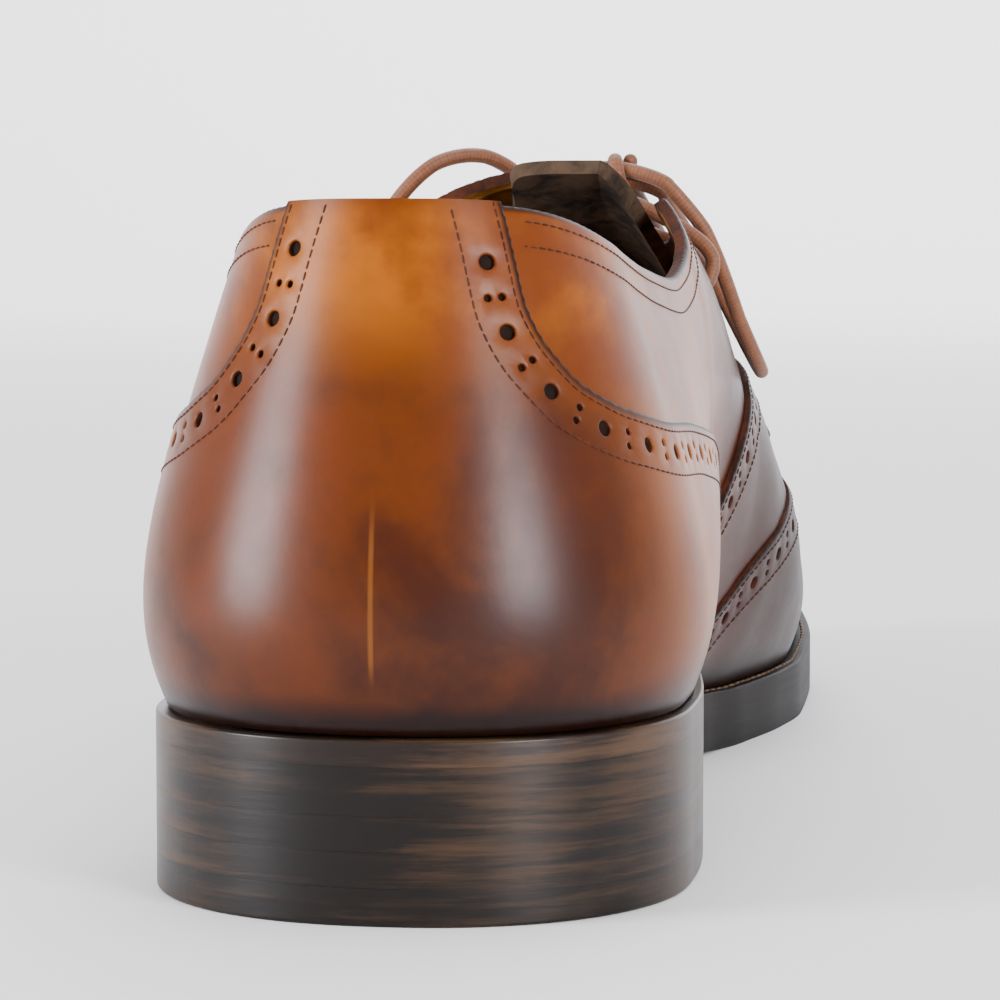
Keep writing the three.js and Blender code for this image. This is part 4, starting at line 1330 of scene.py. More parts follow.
@dataclass
class Uppers:
    """The quarters, the counter, the vamp, the wing cap, the tongue and all their stitches."""

    wall: float = 2.0
    overlay: float = 1.0
    overlay_top: float = 1.05
    cap_top: float = 1.75
    first_eyelet: float = 0.455
    eyelet_pitch: float = 0.034
    eyelet_rows: int = 5
    eyelet_inset: float = 9.0
    tongue_half: float = 21.0
    tongue_under: float = 3.6
    tongue_thickness: float = 2.2
    tongue_top: float = 0.372
    tongue_end: float = 0.66
    tongue_taper: float = 30.0
    tongue_top_share: float = 0.5
    tongue_round: float = 5.0
    counter_reach: float = 24.0
    panels: dict[str, Panel] = field(default_factory=dict)

    def eyelet_foot(self, row: int) -> float:
        """Where a row of eyelets lies along the sole."""
        return (self.first_eyelet + row * self.eyelet_pitch) * LAST.sole_length

    def eyelets(self, side: Side) -> list[tuple[float, float]]:
        """The eyelets of one facing, as foot and rise.

        Args:
            side: which side of the shoe.

        Returns:
            Foot and rise of each.
        """
        found = []
        for row in range(self.eyelet_rows):
            foot = self.eyelet_foot(row)
            end = LAST.end_at(side, foot)
            found.append((foot, LAST.down_wall(side, foot, end, self.eyelet_inset) / end))
        return found

    def quarter_lines(self) -> list[Line]:
        """The outline of one side of the quarters and the lining under the vamp.

        Returns:
            The stretches of the outline, in order.
        """
        start, end, throat = LAST.foot_start, LAST.foot_end, LAST.throat_at * LAST.sole_length
        return [
            Line(crest_line(start, end, 0.0), False),
            Line(wall_line(end, 0, 1), False),
            Line(crest_line(end, throat, 1.0), False),
            Line(crest_line(throat, start, 1.0), True),
            Line(wall_line(start, 1, 0), False),
        ]

    def counter_lines(self) -> list[Line]:
        """The outline of one side of the counter.

        Returns:
            The stretches of the outline, in order.
        """
        edge = counter_line()
        start = LAST.foot_start
        return [
            Line(crest_line(start, edge[0, 0], 0.0), False),
            Line(edge, True),
            Line(crest_line(edge[-1, 0], start, 1.0), False),
            Line(wall_line(start, 1, 0), False),
        ]

    def vamp_lines(self) -> list[Line]:
        """The outline of one side of the vamp, which runs a little way under the wing cap.

        Returns:
            The stretches of the outline, in order.
        """
        length, under = LAST.sole_length, 4.0
        return [
            Line(crest_line(VAMP_EDGE(0) * length, WING_EDGE(0) * length + under, 0.0), False),
            Line(edge_line(WING_EDGE, 0, 1, under), False),
            Line(crest_line(WING_EDGE(1) * length + under, VAMP_EDGE(1) * length, 1.0), False),
            Line(edge_line(VAMP_EDGE, 1, 0), True),
        ]

    def cap_lines(self) -> list[Line]:
        """The outline of one side of the wing cap.

        Returns:
            The stretches of the outline, in order.
        """
        length, end = LAST.sole_length, LAST.foot_end
        return [
            Line(crest_line(WING_EDGE(0) * length, end, 0.0), False),
            Line(wall_line(end, 0, 1), False),
            Line(crest_line(end, WING_EDGE(1) * length, 1.0), False),
            Line(edge_line(WING_EDGE, 1, 0), True),
        ]

    def build(self, shop: Workshop, looks: "Looks") -> None:
        """Makes and dresses the leather of the upper.

        Args:
            shop: the workshop.
            looks: the shoe's finishes.
        """
        quarter = Panel("quarters", self.quarter_lines(), 0.0, self.wall, 2.2, 0.8, eyelets=self.eyelets)
        panels = {"upper": quarter}
        for node, lines, top in (
            ("counter", self.counter_lines(), self.overlay_top),
            ("vamp", self.vamp_lines(), self.overlay_top),
            ("wing_cap", self.cap_lines(), self.cap_top),
        ):
            panels[node] = Panel(f"{node}_panel", lines, top, self.overlay, 1.8, holes=Holes())
        for node, panel in panels.items():
            self.panels[panel.name] = panel
            obj = panel.build(shop)
            shop.dress(obj, [looks.leather, looks.lining, looks.edge], "tan_leather", node)
        tongue = shop.dress(self.tongue(shop), [looks.leather, looks.suede], "tan_leather", "tongue")
        for face in tongue.data.polygons:
            face.material_index = int(face.normal.z < 0.35 or face.normal.y < -0.6)
        # dark discs under the punched holes, painted shade
        shop.dress(self.hole_shade_discs(shop), [looks.hole], "tan_leather")
        shop.dress(self.stitching(shop), [looks.thread], "tan_leather")

    def tongue(self, shop: Workshop) -> bpy.types.Object:
        """The tongue, its top narrowed, with a suede back.

        Args:
            shop: the workshop.

        Returns:
            The tongue.
        """
        across, along = 28, 66
        points, faces = [], []
        top, end = self.tongue_top * LAST.sole_length, self.tongue_end * LAST.sole_length
        feet = top + (end - top) * np.linspace(0, 1, along) ** 1.5
        for foot in feet:
            share = min(max((foot - top) / self.tongue_taper, 0), 1)
            half = self.tongue_half * (self.tongue_top_share + (1 - self.tongue_top_share) * share)
            half *= 0.7 + 0.3 * math.sqrt(1 - max(1 - (foot - top) / self.tongue_round, 0) ** 2)
            row = []
            for side in (Side.OUTER, Side.INNER):
                low = LAST.down_wall(side, foot, 1, half)
                t = low + (1 - low) * np.sin(np.linspace(0, math.pi / 2, across // 2 + 1))
                half_row = LAST.on_wall(side.value, np.full(t.shape, foot), t, -self.tongue_under)
                row.append(half_row if side is Side.OUTER else half_row[::-1][1:])
            points.append(np.concatenate(row))
        width = len(points[0])
        for i in range(along - 1):
            for j in range(width - 1):
                a = i * width + j
                faces.append((a, a + 1, a + width + 1, a + width))
        obj = shop.piece("tongue_leather", np.concatenate(points), faces)
        foot = np.repeat(feet, width)
        shop.note(obj, foot_mm=foot, rise=np.full(foot.shape, 0.8), edge_mm=np.full(foot.shape, 99.0))
        shop.weld(obj)
        shop.modify(obj, "SOLIDIFY", thickness=self.tongue_thickness * MM, offset=-1, material_offset=1)
        shop.modify(obj, "BEVEL", width=0.6 * MM, segments=3, limit_method="ANGLE", angle_limit=1.0)
        bpy.ops.object.shade_smooth_by_angle(angle=SHARP)
        return obj

    def hole_shade_discs(self, shop: Workshop) -> bpy.types.Object:
        """Painted shade in the punched holes: small dark discs laid under them, as one piece.

        Args:
            shop: the workshop.

        Returns:
            The discs as one piece.
        """
        points, faces, start = [], [], 0
        for panel in self.panels.values():
            if panel.holes is None:
                continue
            for ring in panel.hole_places:
                middle = ring.mean(axis=0)
                points += [ring, middle[None]]
                count = len(ring)
                faces += [(start + i, start + (i + 1) % count, start + count) for i in range(count)]
                start += count + 1
        obj = shop.piece("hole_shade_discs", np.concatenate(points), faces)
        shop.modify(obj, "SOLIDIFY", thickness=0.2 * MM, offset=0)
        shop.outward(obj)
        return obj

    def stitching(self, shop: Workshop) -> bpy.types.Object:
        """All rows of stitches on the upper, as one piece.

        Args:
            shop: the workshop.

        Returns:
            The stitches as one piece.
        """
        thread = Thread()
        rows = {"quarters": (2.0, 5.2), "counter_panel": (1.3, 7.2), "vamp_panel": (1.3, 7.2),
                "wing_cap_panel": (1.3, 7.2)}
        for name, insets in rows.items():
            panel = self.panels[name]
            for side, line in panel.edges:
                for inset in insets:
                    flat = panel.inwards(line, side, inset)
                    if name == "quarters":
                        flat = flat[flat[:, 0] > self.counter_reach]
                    flat = flat[flat[:, 1] > 1.0]
                    path = panel.to_last(flat, side, panel.top)
                    outer = panel.to_last(flat, side, panel.top + 1) - path
                    thread.row(path, outer)
        return thread.build(shop, "stitches")


@dataclass
class Thread:
    """Rows of small stitches, each a short rounded bar."""

    pitch: float = 1.5
    length: float = 1.3
    radius: float = 0.14
    raised: float = 0.05
    sides: int = 5
    points: list[np.ndarray] = field(default_factory=list)
    faces: list[tuple[int, ...]] = field(default_factory=list)
    count: int = 0

    def row(self, path: np.ndarray, outer: np.ndarray) -> None:
        """Sews one row along a path.

        Args:
            path: points on the leather, in millimetres.
            outer: the way out of the leather at each.
        """
        gone = np.concatenate([[0], np.cumsum(np.linalg.norm(np.diff(path, axis=0), axis=1))])
        for middle in np.arange(self.pitch / 2, gone[-1], self.pitch):
            ends = [np.array([np.interp(middle + d, gone, path[:, k]) for k in range(3)])
                    for d in (-self.length / 2, self.length / 2)]
            up = np.array([np.interp(middle, gone, outer[:, k]) for k in range(3)])
            self.stitch(ends[0], ends[1], up)

    def stitch(self, start: np.ndarray, end: np.ndarray, up: np.ndarray) -> None:
        """Adds one stitch between two points.

        Args:
            start: its first end.
            end: its other end.
            up: the way out of the leather.
        """
        ahead = end - start
        size = np.linalg.norm(ahead)
        if size < 0.3:
            return
        ahead = ahead / size
        up = up - ahead * (up @ ahead)
        up /= np.linalg.norm(up)
        across = np.cross(ahead, up)
        turn = np.arange(self.sides) * 2 * math.pi / self.sides + math.pi / self.sides
        rings = ((0.0, 0.35, -0.12), (0.2, 0.95, 0.0), (0.8, 0.95, 0.0), (1.0, 0.35, -0.12))
        first = self.count
        for share, width, lift in rings:
            centre = start + ahead * size * share + up * (self.raised + lift)
            ring = centre + self.radius * width * (
                np.outer(np.cos(turn), across) + np.outer(np.sin(turn), up))
            self.points.append(ring)
        for r in range(3):
            low, high = first + r * self.sides, first + (r + 1) * self.sides
            self.faces += [(low + i, high + i, high + (i + 1) % self.sides, low + (i + 1) % self.sides)
                           for i in range(self.sides)]
        self.faces.append(tuple(range(first, first + self.sides)))
        last = first + 3 * self.sides
        self.faces.append(tuple(range(last + self.sides - 1, last - 1, -1)))
        self.count += 4 * self.sides

    def build(self, shop: Workshop, name: str) -> bpy.types.Object:
        """All the rows as one piece.

        Args:
            shop: the workshop.
            name: the piece's name.

        Returns:
            The piece.
        """
        obj = shop.piece(name, np.concatenate(self.points), self.faces)
        bpy.ops.object.shade_smooth()
        shop.outward(obj)
        return obj


@dataclass(frozen=True)
class Spot:
    """A point of the lace's route over the upper, with its distance from the leather."""

    side: Side
    at: float
    t: float
    lift: float


def route(side: Side, *rows: tuple[float, float, float]) -> list[Spot]:
    """Spots on one side of the shoe, from rows of at, t and lift."""
    return [Spot(side, *row) for row in rows]


BOW = {
    "knot": route(Side.INNER, (0.447, 1, 6.4), (0.457, 1, 6.6), (0.467, 1, 6.4)),
    "loop_outer": route(
        Side.OUTER, (0.453, 0.9, 7.2), (0.435, 0.86, 8.2), (0.42, 0.78, 8), (0.42, 0.66, 6),
        (0.44, 0.54, 3.6), (0.475, 0.46, 3.7), (0.505, 0.5, 3.7), (0.51, 0.62, 3.8), (0.49, 0.78, 5.2),
        (0.465, 0.9, 6.6)),
    "loop_inner": route(
        Side.INNER, (0.453, 0.88, 6), (0.465, 0.76, 4.6), (0.495, 0.6, 2.8), (0.53, 0.52, 3.5),
        (0.55, 0.6, 3.7), (0.535, 0.74, 4.9), (0.5, 0.84, 5.7), (0.468, 0.9, 6.2)),
    "end_outer": route(
        Side.OUTER, (0.478, 0.96, 6.2), (0.515, 0.9, 5.8), (0.56, 0.82, 5.6), (0.6, 0.66, 3.7),
        (0.625, 0.5, 3.3), (0.635, 0.38, 3.4)),
    "end_inner": route(
        Side.INNER, (0.478, 0.97, 6.2), (0.52, 0.94, 6), (0.57, 0.9, 5.8), (0.615, 0.76, 4.1),
        (0.645, 0.62, 3.3), (0.66, 0.5, 3.4)),
}


def through_points(points: np.ndarray, spacing: float) -> np.ndarray:
    """A smooth line through points (centripetal Catmull-Rom), its own points evenly spaced.

    Args:
        points: rows of x, y, z to pass.
        spacing: how far apart the line's points lie.

    Returns:
        The line's points.
    """
    padded = np.concatenate([[2 * points[0] - points[1]], points, [2 * points[-1] - points[-2]]])
    knots = np.concatenate([[0], np.cumsum(np.sqrt(np.linalg.norm(np.diff(padded, axis=0), axis=1)))])
    line = []
    for i in range(1, len(padded) - 2):
        t = np.linspace(knots[i], knots[i + 1], 24, endpoint=i == len(padded) - 3)[:, None]
        level = padded[i - 1:i + 3]
        for depth in (1, 2, 3):
            level = [
                ((knots[i + k + depth - 1] - t) * level[k] + (t - knots[i + k - 1]) * level[k + 1])
                / (knots[i + k + depth - 1] - knots[i + k - 1])
                for k in range(4 - depth)
            ]
        line.append(level[0])
    return resample(np.concatenate(line), spacing)


@dataclass
class Lacing:
    """The waxed lace: its bars through the eyelets, and the bow on the top pair."""

    diameter: float = 2.4
    lift: float = 0.95
    sides: int = 16
    ring_pitch: float = 0.3
    strands: int = 8
    twist: float = 1.9
    relief: float = 0.02
    tip_length: float = 11.0
    turn_pitch: float = 2.5
    turn_radius: float = 2.1
    lead_in: float = 1.6

    def tube(self, shop: Workshop, name: str, path: np.ndarray, radius: float,
             woven: bool = True) -> bpy.types.Object:
        """A round braided lace along a path, with its weave as real relief.

        Args:
            shop: the workshop.
            name: the piece's name.
            path: the lace's middle, in millimetres.
            radius: how thick it is.
            woven: whether its surface is braided.

        Returns:
            The closed tube.
        """
        ahead = np.gradient(path, axis=0)
        ahead /= np.linalg.norm(ahead, axis=1, keepdims=True)
        up = np.array([0.0, 0.0, 1.0]) if abs(ahead[0, 2]) < 0.9 else np.array([1.0, 0.0, 0.0])
        gone = np.concatenate([[0], np.cumsum(np.linalg.norm(np.diff(path, axis=0), axis=1))])
        turn = np.arange(self.sides) * 2 * math.pi / self.sides
        points, around, along = [], [], []
        for i, (centre, way) in enumerate(zip(path, ahead)):
            up = up - way * (up @ way)
            up /= np.linalg.norm(up)
            across = np.cross(way, up)
            size = np.full(self.sides, radius)
            if woven:
                phase = gone[i] / self.twist * 2 * math.pi
                weave = np.sin(self.strands / 2 * turn + phase) * np.sin(self.strands / 2 * turn - phase)
                size = radius * (1 - self.relief * (0.5 - 0.5 * np.sign(weave) * np.abs(weave) ** 0.6))
            ends = min(gone[i], gone[-1] - gone[i]) / radius
            size = size * math.sqrt(max(1 - max(1 - ends, 0) ** 2, 0.02))
            circle = np.outer(np.cos(turn), across) + np.outer(np.sin(turn), up)
            points.append(centre + size[:, None] * circle)
            around.append(turn)
            along.append(np.full(self.sides, gone[i]))
        count, rings = self.sides, len(path)
        faces = [face for r in range(rings - 1) for face in band(r * count, (r + 1) * count, count)]
        faces.append(tuple(range(count - 1, -1, -1)))
        faces.append(tuple(range((rings - 1) * count, rings * count)))
        obj = shop.piece(name, np.concatenate(points), faces)
        shop.note(obj, along_mm=np.concatenate(along), around=np.concatenate(around))
        shop.outward(obj)
        bpy.ops.object.shade_smooth()
        return obj

    def path(self, spots: Sequence[Spot]) -> np.ndarray:
        """The route through spots over the upper.

        Args:
            spots: the spots, in order.

        Returns:
            The lace's middle, in millimetres.
        """
        length = LAST.sole_length
        points = [LAST.spot(s.side, s.at * length, s.t, s.lift) for s in spots]
        return through_points(np.array(points), self.ring_pitch)

    def bar(self, uppers: Uppers, row: int) -> np.ndarray:
        """One straight bar, out of one eyelet, over the facings and down through the other.

        Args:
            uppers: the uppers, which place the eyelets.
            row: which pair of eyelets.

        Returns:
            The lace's middle, in millimetres.
        """
        foot = uppers.eyelet_foot(row)
        high = self.diameter / 2 + self.lift
        arms = []
        for side in Side:
            end = LAST.end_at(side, foot)
            arm = []
            for share, lift in ((1.12, -2.4), (1.04, -0.6), (0.93, 0.75), (0.72, high), (0.36, high)):
                t = LAST.down_wall(side, foot, end, share * uppers.eyelet_inset)
                arm.append(LAST.spot(side, foot, t, lift))
            arms.append(arm)
        top = LAST.spot(Side.INNER, foot, 1, high)
        return through_points(np.array([*arms[0], top, *arms[1][::-1]]), self.ring_pitch)

    def bow(self, shop: Workshop, looks: "Looks") -> None:
        """The knot, the two loops and the two ends, as woven tubes, the length of each logged.

        Args:
            shop: the workshop.
            looks: the shoe's finishes.
        """
        radius = self.diameter / 2
        knot = self.knot(shop)
        shop.dress(knot, [looks.lace], "waxed_lace", "lace_knot")
        for name in ("loop_outer", "loop_inner", "end_outer", "end_inner"):
            path = self.path(BOW[name])
            lace = self.tube(shop, f"bow_{name}", path, radius)
            shop.dress(lace, [looks.lace], "waxed_lace", "lace_" + name)
            pieces = [knot] if name == "loop_outer" else []
            if name.startswith("end"):
                gone = np.linalg.norm(np.diff(path, axis=0), axis=1)[::-1].cumsum()
                kept = int(np.searchsorted(gone, self.tip_length))
                tip = self.tube(shop, f"tip_{name}", path[-kept:], radius * 1.07, woven=False)
                shop.dress(tip, [looks.tip], "waxed_lace")
                pieces.append(tip)
            route = shop.place(path)
            length = float(np.linalg.norm(np.diff(route, axis=0), axis=1).sum())
            LOG.info("%s is %.1f mm long", name, length / MM)
            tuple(route[0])

    def knot(self, shop: Workshop) -> bpy.types.Object:
        """The knot: the laces that cross in it, and the turn of lace that holds them.

        Args:
            shop: the workshop.

        Returns:
            The knot as one piece.
        """

        def spot(name: str, which: int) -> np.ndarray:
            """One point of the bow's routes.

            Args:
                name: the route's name.
                which: the spot's index in it.

            Returns:
                Its x, y, z in millimetres.
            """
            s = BOW[name][which]
            return LAST.spot(s.side, s.at * LAST.sole_length, s.t, s.lift)

        def lead(name: str, which: int, following: int) -> np.ndarray:
            """A point a little way along a loop or an end, for the knot's lace to run into.

            Args:
                name: the route's name.
                which: the spot at the knot.
                following: the next one.

            Returns:
                Its x, y, z in millimetres.
            """
            way = spot(name, following) - spot(name, which)
            return spot(name, which) + way / np.linalg.norm(way) * self.lead_in

        def strand(kind: str, which: int, following: int, through: np.ndarray) -> bpy.types.Object:
            """The lace inside the knot, from an outer loop or end to the inner one.

            Args:
                kind: loop or end.
                which: the spot of its route at which it reaches the knot.
                following: the next spot along it.
                through: where it passes the knot's middle.

            Returns:
                The lace.
            """
            outer, inner = f"{kind}_outer", f"{kind}_inner"
            points = (lead(outer, which, following), spot(outer, which), through,
                      spot(inner, which), lead(inner, which, following))
            path = through_points(np.array(points), self.ring_pitch)
            return self.tube(shop, "strand", path, self.diameter / 2)

        start, middle, end = (spot("knot", i) for i in range(3))
        ahead = (end - start) / np.linalg.norm(end - start)
        across = np.array([1.0, 0.0, 0.0])
        across = across - ahead * (across @ ahead)
        across /= np.linalg.norm(across)
        up = np.cross(across, ahead)
        turn = np.linspace(-0.35, 1.35, 60) * 2 * math.pi
        wound = np.array([
            middle + across * (a / (2 * math.pi) - 0.5) * self.turn_pitch
            + self.turn_radius * (math.cos(a) * ahead + math.sin(a) * up)
            for a in turn
        ])
        knot = self.tube(shop, "bow_knot", resample(wound, self.ring_pitch), self.diameter / 2)
        parts = [
            strand("loop", 0, 1, middle - ahead * 0.9 + up * 0.5),
            strand("loop", -1, -2, middle + ahead * 0.9 - up * 0.5),
            strand("end", 0, 1, middle - up * 0.6),
        ]
        shop.only(knot)
        for part in parts:
            part.select_set(True)
        bpy.ops.object.join()
        return knot

    def build(self, shop: Workshop, looks: "Looks", uppers: Uppers) -> None:
        """Makes and dresses the bars.

        Args:
            shop: the workshop.
            looks: the shoe's finishes.
            uppers: the uppers, which place the eyelets.
        """
        for row in range(uppers.eyelet_rows):
            bar = self.tube(shop, f"lacing_{row + 1}", self.bar(uppers, row), self.diameter / 2)
            shop.dress(bar, [looks.lace], "waxed_lace", f"lace_bar_{row + 1}")


class Wire:
    """A number on its way through a material's nodes: sums written on it add Math nodes."""

    def __init__(self, look: "Look", socket: bpy.types.NodeSocket) -> None:
        """Keeps the material and the socket."""
        self.look = look
        self.socket = socket

    def sum(self, operation: str, *others: object) -> "Wire":
        """A Math node of this operation over the wire and the others."""
        return self.look.math(operation, self, *others)

    def __add__(self, other: object) -> "Wire":
        """Adds."""
        return self.sum("ADD", other)

    __radd__ = __add__

    def __sub__(self, other: object) -> "Wire":
        """Takes the other away."""
        return self.sum("SUBTRACT", other)

    def __rsub__(self, other: object) -> "Wire":
        """Takes the wire away from the other."""
        return self.look.math("SUBTRACT", other, self)

    def __mul__(self, other: object) -> "Wire":
        """Multiplies."""
        return self.sum("MULTIPLY", other)

    __rmul__ = __mul__

    def __truediv__(self, other: object) -> "Wire":
        """Divides."""
        return self.sum("DIVIDE", other)

    def __abs__(self) -> "Wire":
        """Without its sign."""
        return self.sum("ABSOLUTE")

    def low(self, other: object) -> "Wire":
        """The smaller of the two."""
        return self.sum("MINIMUM", other)

    def high(self, other: object) -> "Wire":
        """The larger of the two."""
        return self.sum("MAXIMUM", other)

    def step(self, start: float, end: float, low: float = 0.0, high: float = 1.0) -> "Wire":
        """A soft step from low at start to high at end.

        Args:
            start: where the step starts.
            end: where it ends.
            low: the value up to its start.
            high: the value from its end.

        Returns:
            The stepped number.
        """
        return self.look.node(
            "ShaderNodeMapRange", {"interpolation_type": "SMOOTHSTEP"},
            {"Value": self, "From Min": start, "From Max": end, "To Min": low, "To Max": high})

    def bell(self, middle: float, width: float) -> "Wire":
        """A soft hump of 1 at the middle that falls off over the width."""
        return (abs(self - middle) / width).step(0, 1, 1, 0)


class Look:
    """One procedural material, built on its own Principled shader."""

    def __init__(self, name: str, **sockets: object) -> None:
        """Starts the material.

        Args:
            name: its plain name.
            sockets: numbers and colours that are the same all over, by socket name with _ for space.
        """
        self.material = bpy.data.materials.new(name)
        self.material.use_nodes = True
        self.tree = self.material.node_tree
        self.shader = self.tree.nodes["Principled BSDF"]
        for key, value in sockets.items():
            self.shader.inputs[key.replace("_", " ")].default_value = value

    def node(self, kind: str, settings: dict[str, object], values: dict[object, object],
             out: object = 0) -> Wire:
        """Adds a node, sets it, and fills its sockets with values or wires.

        Args:
            kind: the node's type.
            settings: its own settings.
            values: its sockets' values or wires, by name or index.
            out: which of its outputs to give back.

        Returns:
            That output.
        """
        node = self.tree.nodes.new(kind)
        for key, value in settings.items():
            setattr(node, key, value)
        for key, value in values.items():
            if isinstance(value, Wire):
                self.tree.links.new(value.socket, node.inputs[key])
            else:
                node.inputs[key].default_value = value
        return Wire(self, node.outputs[out])

    def math(self, operation: str, *values: object) -> Wire:
        """A Math node over numbers and wires."""
        return self.node("ShaderNodeMath", {"operation": operation}, dict(enumerate(values)))

    def measure(self, name: str) -> Wire:
        """A measure kept on the piece's points."""
        return self.node("ShaderNodeAttribute", {"attribute_name": name}, {}, "Fac")

    def place(self) -> tuple[Wire, Wire, Wire, Wire]:
        """The Object coordinates, whole and as their three numbers.

        Returns:
            The vector, then x, y and z.
        """
        whole = self.node("ShaderNodeTexCoord", {}, {}, "Object")
        apart = self.node("ShaderNodeSeparateXYZ", {}, {0: whole})
        node = apart.socket.node
        return whole, *[Wire(self, node.outputs[k]) for k in range(3)]

    def noise(self, where: Wire, scale: float, detail: float = 3.0, roughness: float = 0.55,
              distortion: float = 0.0) -> Wire:
        """Noise over a place, from about 0 to 1.

        Args:
            where: the place to read.
            scale: how fine it is, in waves a metre.
            detail: how many octaves.
            roughness: how strong the finer ones are.
            distortion: how far it is pulled about.

        Returns:
            The noise.
        """
        return self.node("ShaderNodeTexNoise", {}, {
            "Vector": where, "Scale": scale, "Detail": detail, "Roughness": roughness,
            "Distortion": distortion})

    def stretched(self, where: Wire, x: float, y: float, z: float) -> Wire:
        """A place scaled along each axis."""
        return self.node("ShaderNodeVectorMath", {"operation": "MULTIPLY"}, {0: where, 1: (x, y, z)})

    def mix(self, factor: Wire, first: object, second: object) -> Wire:
        """A colour between two, by a factor."""
        return self.node("ShaderNodeMix", {"data_type": "RGBA"}, {0: factor, 6: first, 7: second}, 2)

    def feed(self, **sockets: Wire) -> None:
        """Links wires to the shader's sockets, named with _ for space.

        Args:
            sockets: a wire for each socket.
        """
        for key, value in sockets.items():
            self.tree.links.new(value.socket, self.shader.inputs[key.replace("_", " ")])

    def bumped(self, height: Wire, strength: float, distance: float) -> Wire:
        """A normal from a height in metres times the distance."""
        return self.node("ShaderNodeBump", {}, {"Strength": strength, "Distance": distance, "Height": height})


def srgb(red: float, green: float, blue: float) -> tuple[float, float, float, float]:
    """A screen colour, 0 to 255, as the linear one that a shader takes.

    Args:
        red: 0 to 255.
        green: 0 to 255.
        blue: 0 to 255.

    Returns:
        Linear red, green, blue and 1.
    """
    def linear(value: float) -> float:
        """One channel.

        Args:
            value: 0 to 255.

        Returns:
            The linear share.
        """
        share = value / 255
        return share / 12.92 if share <= 0.04045 else ((share + 0.055) / 1.055) ** 2.4
    return (linear(red), linear(green), linear(blue), 1.0)


@dataclass(frozen=True)
class BurnishedLeather:
    """Polished calf, tan where it is bare and burnished dark by hand, and darkened at the foot of the wall as
    painted shade where it meets the welt.
    """

    bright: tuple = srgb(140, 74, 0)
    tan: tuple = srgb(96, 41, 0)
    brown: tuple = srgb(58, 18, 0)
    dark: tuple = srgb(12, 3, 1)
    roughness: float = 0.34
    coat: float = 0.15
    seam_x: float = 0.0

    def make(self) -> bpy.types.Material:
        """The material.

        Returns:
            The material.
        """
        look = Look("burnished_leather", Roughness=self.roughness, Specular_IOR_Level=0.13,
                    Coat_Weight=self.coat, Coat_Roughness=0.32)
        where, x, *_ = look.place()
        foot, rise, edge = look.measure("foot_mm"), look.measure("rise"), look.measure("edge_mm")
        cloud = look.noise(where, 38, 4, 0.6, 0.6)
        fine = look.noise(where, 150, 4, 0.65)
        worn = cloud * 0.7 + fine * 0.3
        bare = look.mix(worn.step(0.36, 0.66), self.tan, self.bright)
        forward = foot.step(85, 150) * 0.97
        # painted shade: darker towards the foot of the wall, where the upper meets the welt
        low = rise.step(0.16, 0.02)
        high = rise.step(0.93, 1.02) * 0.5
        back = foot.step(42, 8) * rise.step(0.88, 0.5) * worn.step(0.3, 0.62, 0.5, 1.0)
        burnish_and_welt_shade = forward.high(low * 0.9).high(back * 0.9).high(high)
        burnish_and_welt_shade = (burnish_and_welt_shade + (worn - 0.5) * 0.45).step(0.0, 1.0)
        colour = look.mix(burnish_and_welt_shade, bare, self.brown)
        seat = foot.step(46, 8) * rise.step(0.5, 0.05) * worn.step(0.3, 0.65, 0.25, 0.6)
        # painted shade: the near-black strip at the foot of the wall, by the welt; the other terms darken the
        # seat, the forepart and the inked free edges
        deep = seat + foot.step(120, 190) * 0.72 + rise.step(0.075, 0.0) * 0.8 + edge.step(1.2, 0.3) * 0.95
        colour = look.mix(deep.low(0.93), colour, self.dark)
        seam = abs(x - self.seam_x).step(0.0005, 0.0001) * foot.step(16, 12)
        seam = seam * rise.step(0.42, 0.3) * rise.step(0.08, 0.14)
        colour = look.mix(seam * 0.14, colour, srgb(196, 122, 40))
        look.feed(Base_Color=colour)
        grain = look.noise(where, 1500, 3, 0.6)
        pull = look.noise(look.stretched(where, 1, 0.6, 1), 90, 3)
        look.feed(Normal=look.bumped(grain * 0.5 + pull * 2.0, 0.06, 0.0006))
        away = (foot.step(110, 190) * 0.45).high(edge.step(0.7, 0.2))
        look.feed(Roughness=(fine * 0.16 + away * 0.14 + self.roughness - 0.08))
        look.feed(Coat_Weight=(1 - away * 0.75) * self.coat)
        return look.material


def plain_leather(name: str, light: tuple, dark: tuple, roughness: float, scale: float) -> bpy.types.Material:
    """Unpolished leather or suede with soft clouds of colour.

    Args:
        name: the material's name.
        light: its lighter colour.
        dark: its darker colour.
        roughness: its gloss.
        scale: how fine its clouds are.

    Returns:
        The material.
    """
    look = Look(name, Roughness=roughness, Specular_IOR_Level=0.2)
    where, *_ = look.place()
    cloud = look.noise(where, scale, 5, 0.65, 0.4)
    look.feed(Base_Color=look.mix(cloud.step(0.35, 0.65), dark, light))
    look.feed(Normal=look.bumped(look.noise(where, 900, 4, 0.7), 0.25, 0.0006))
    return look.material


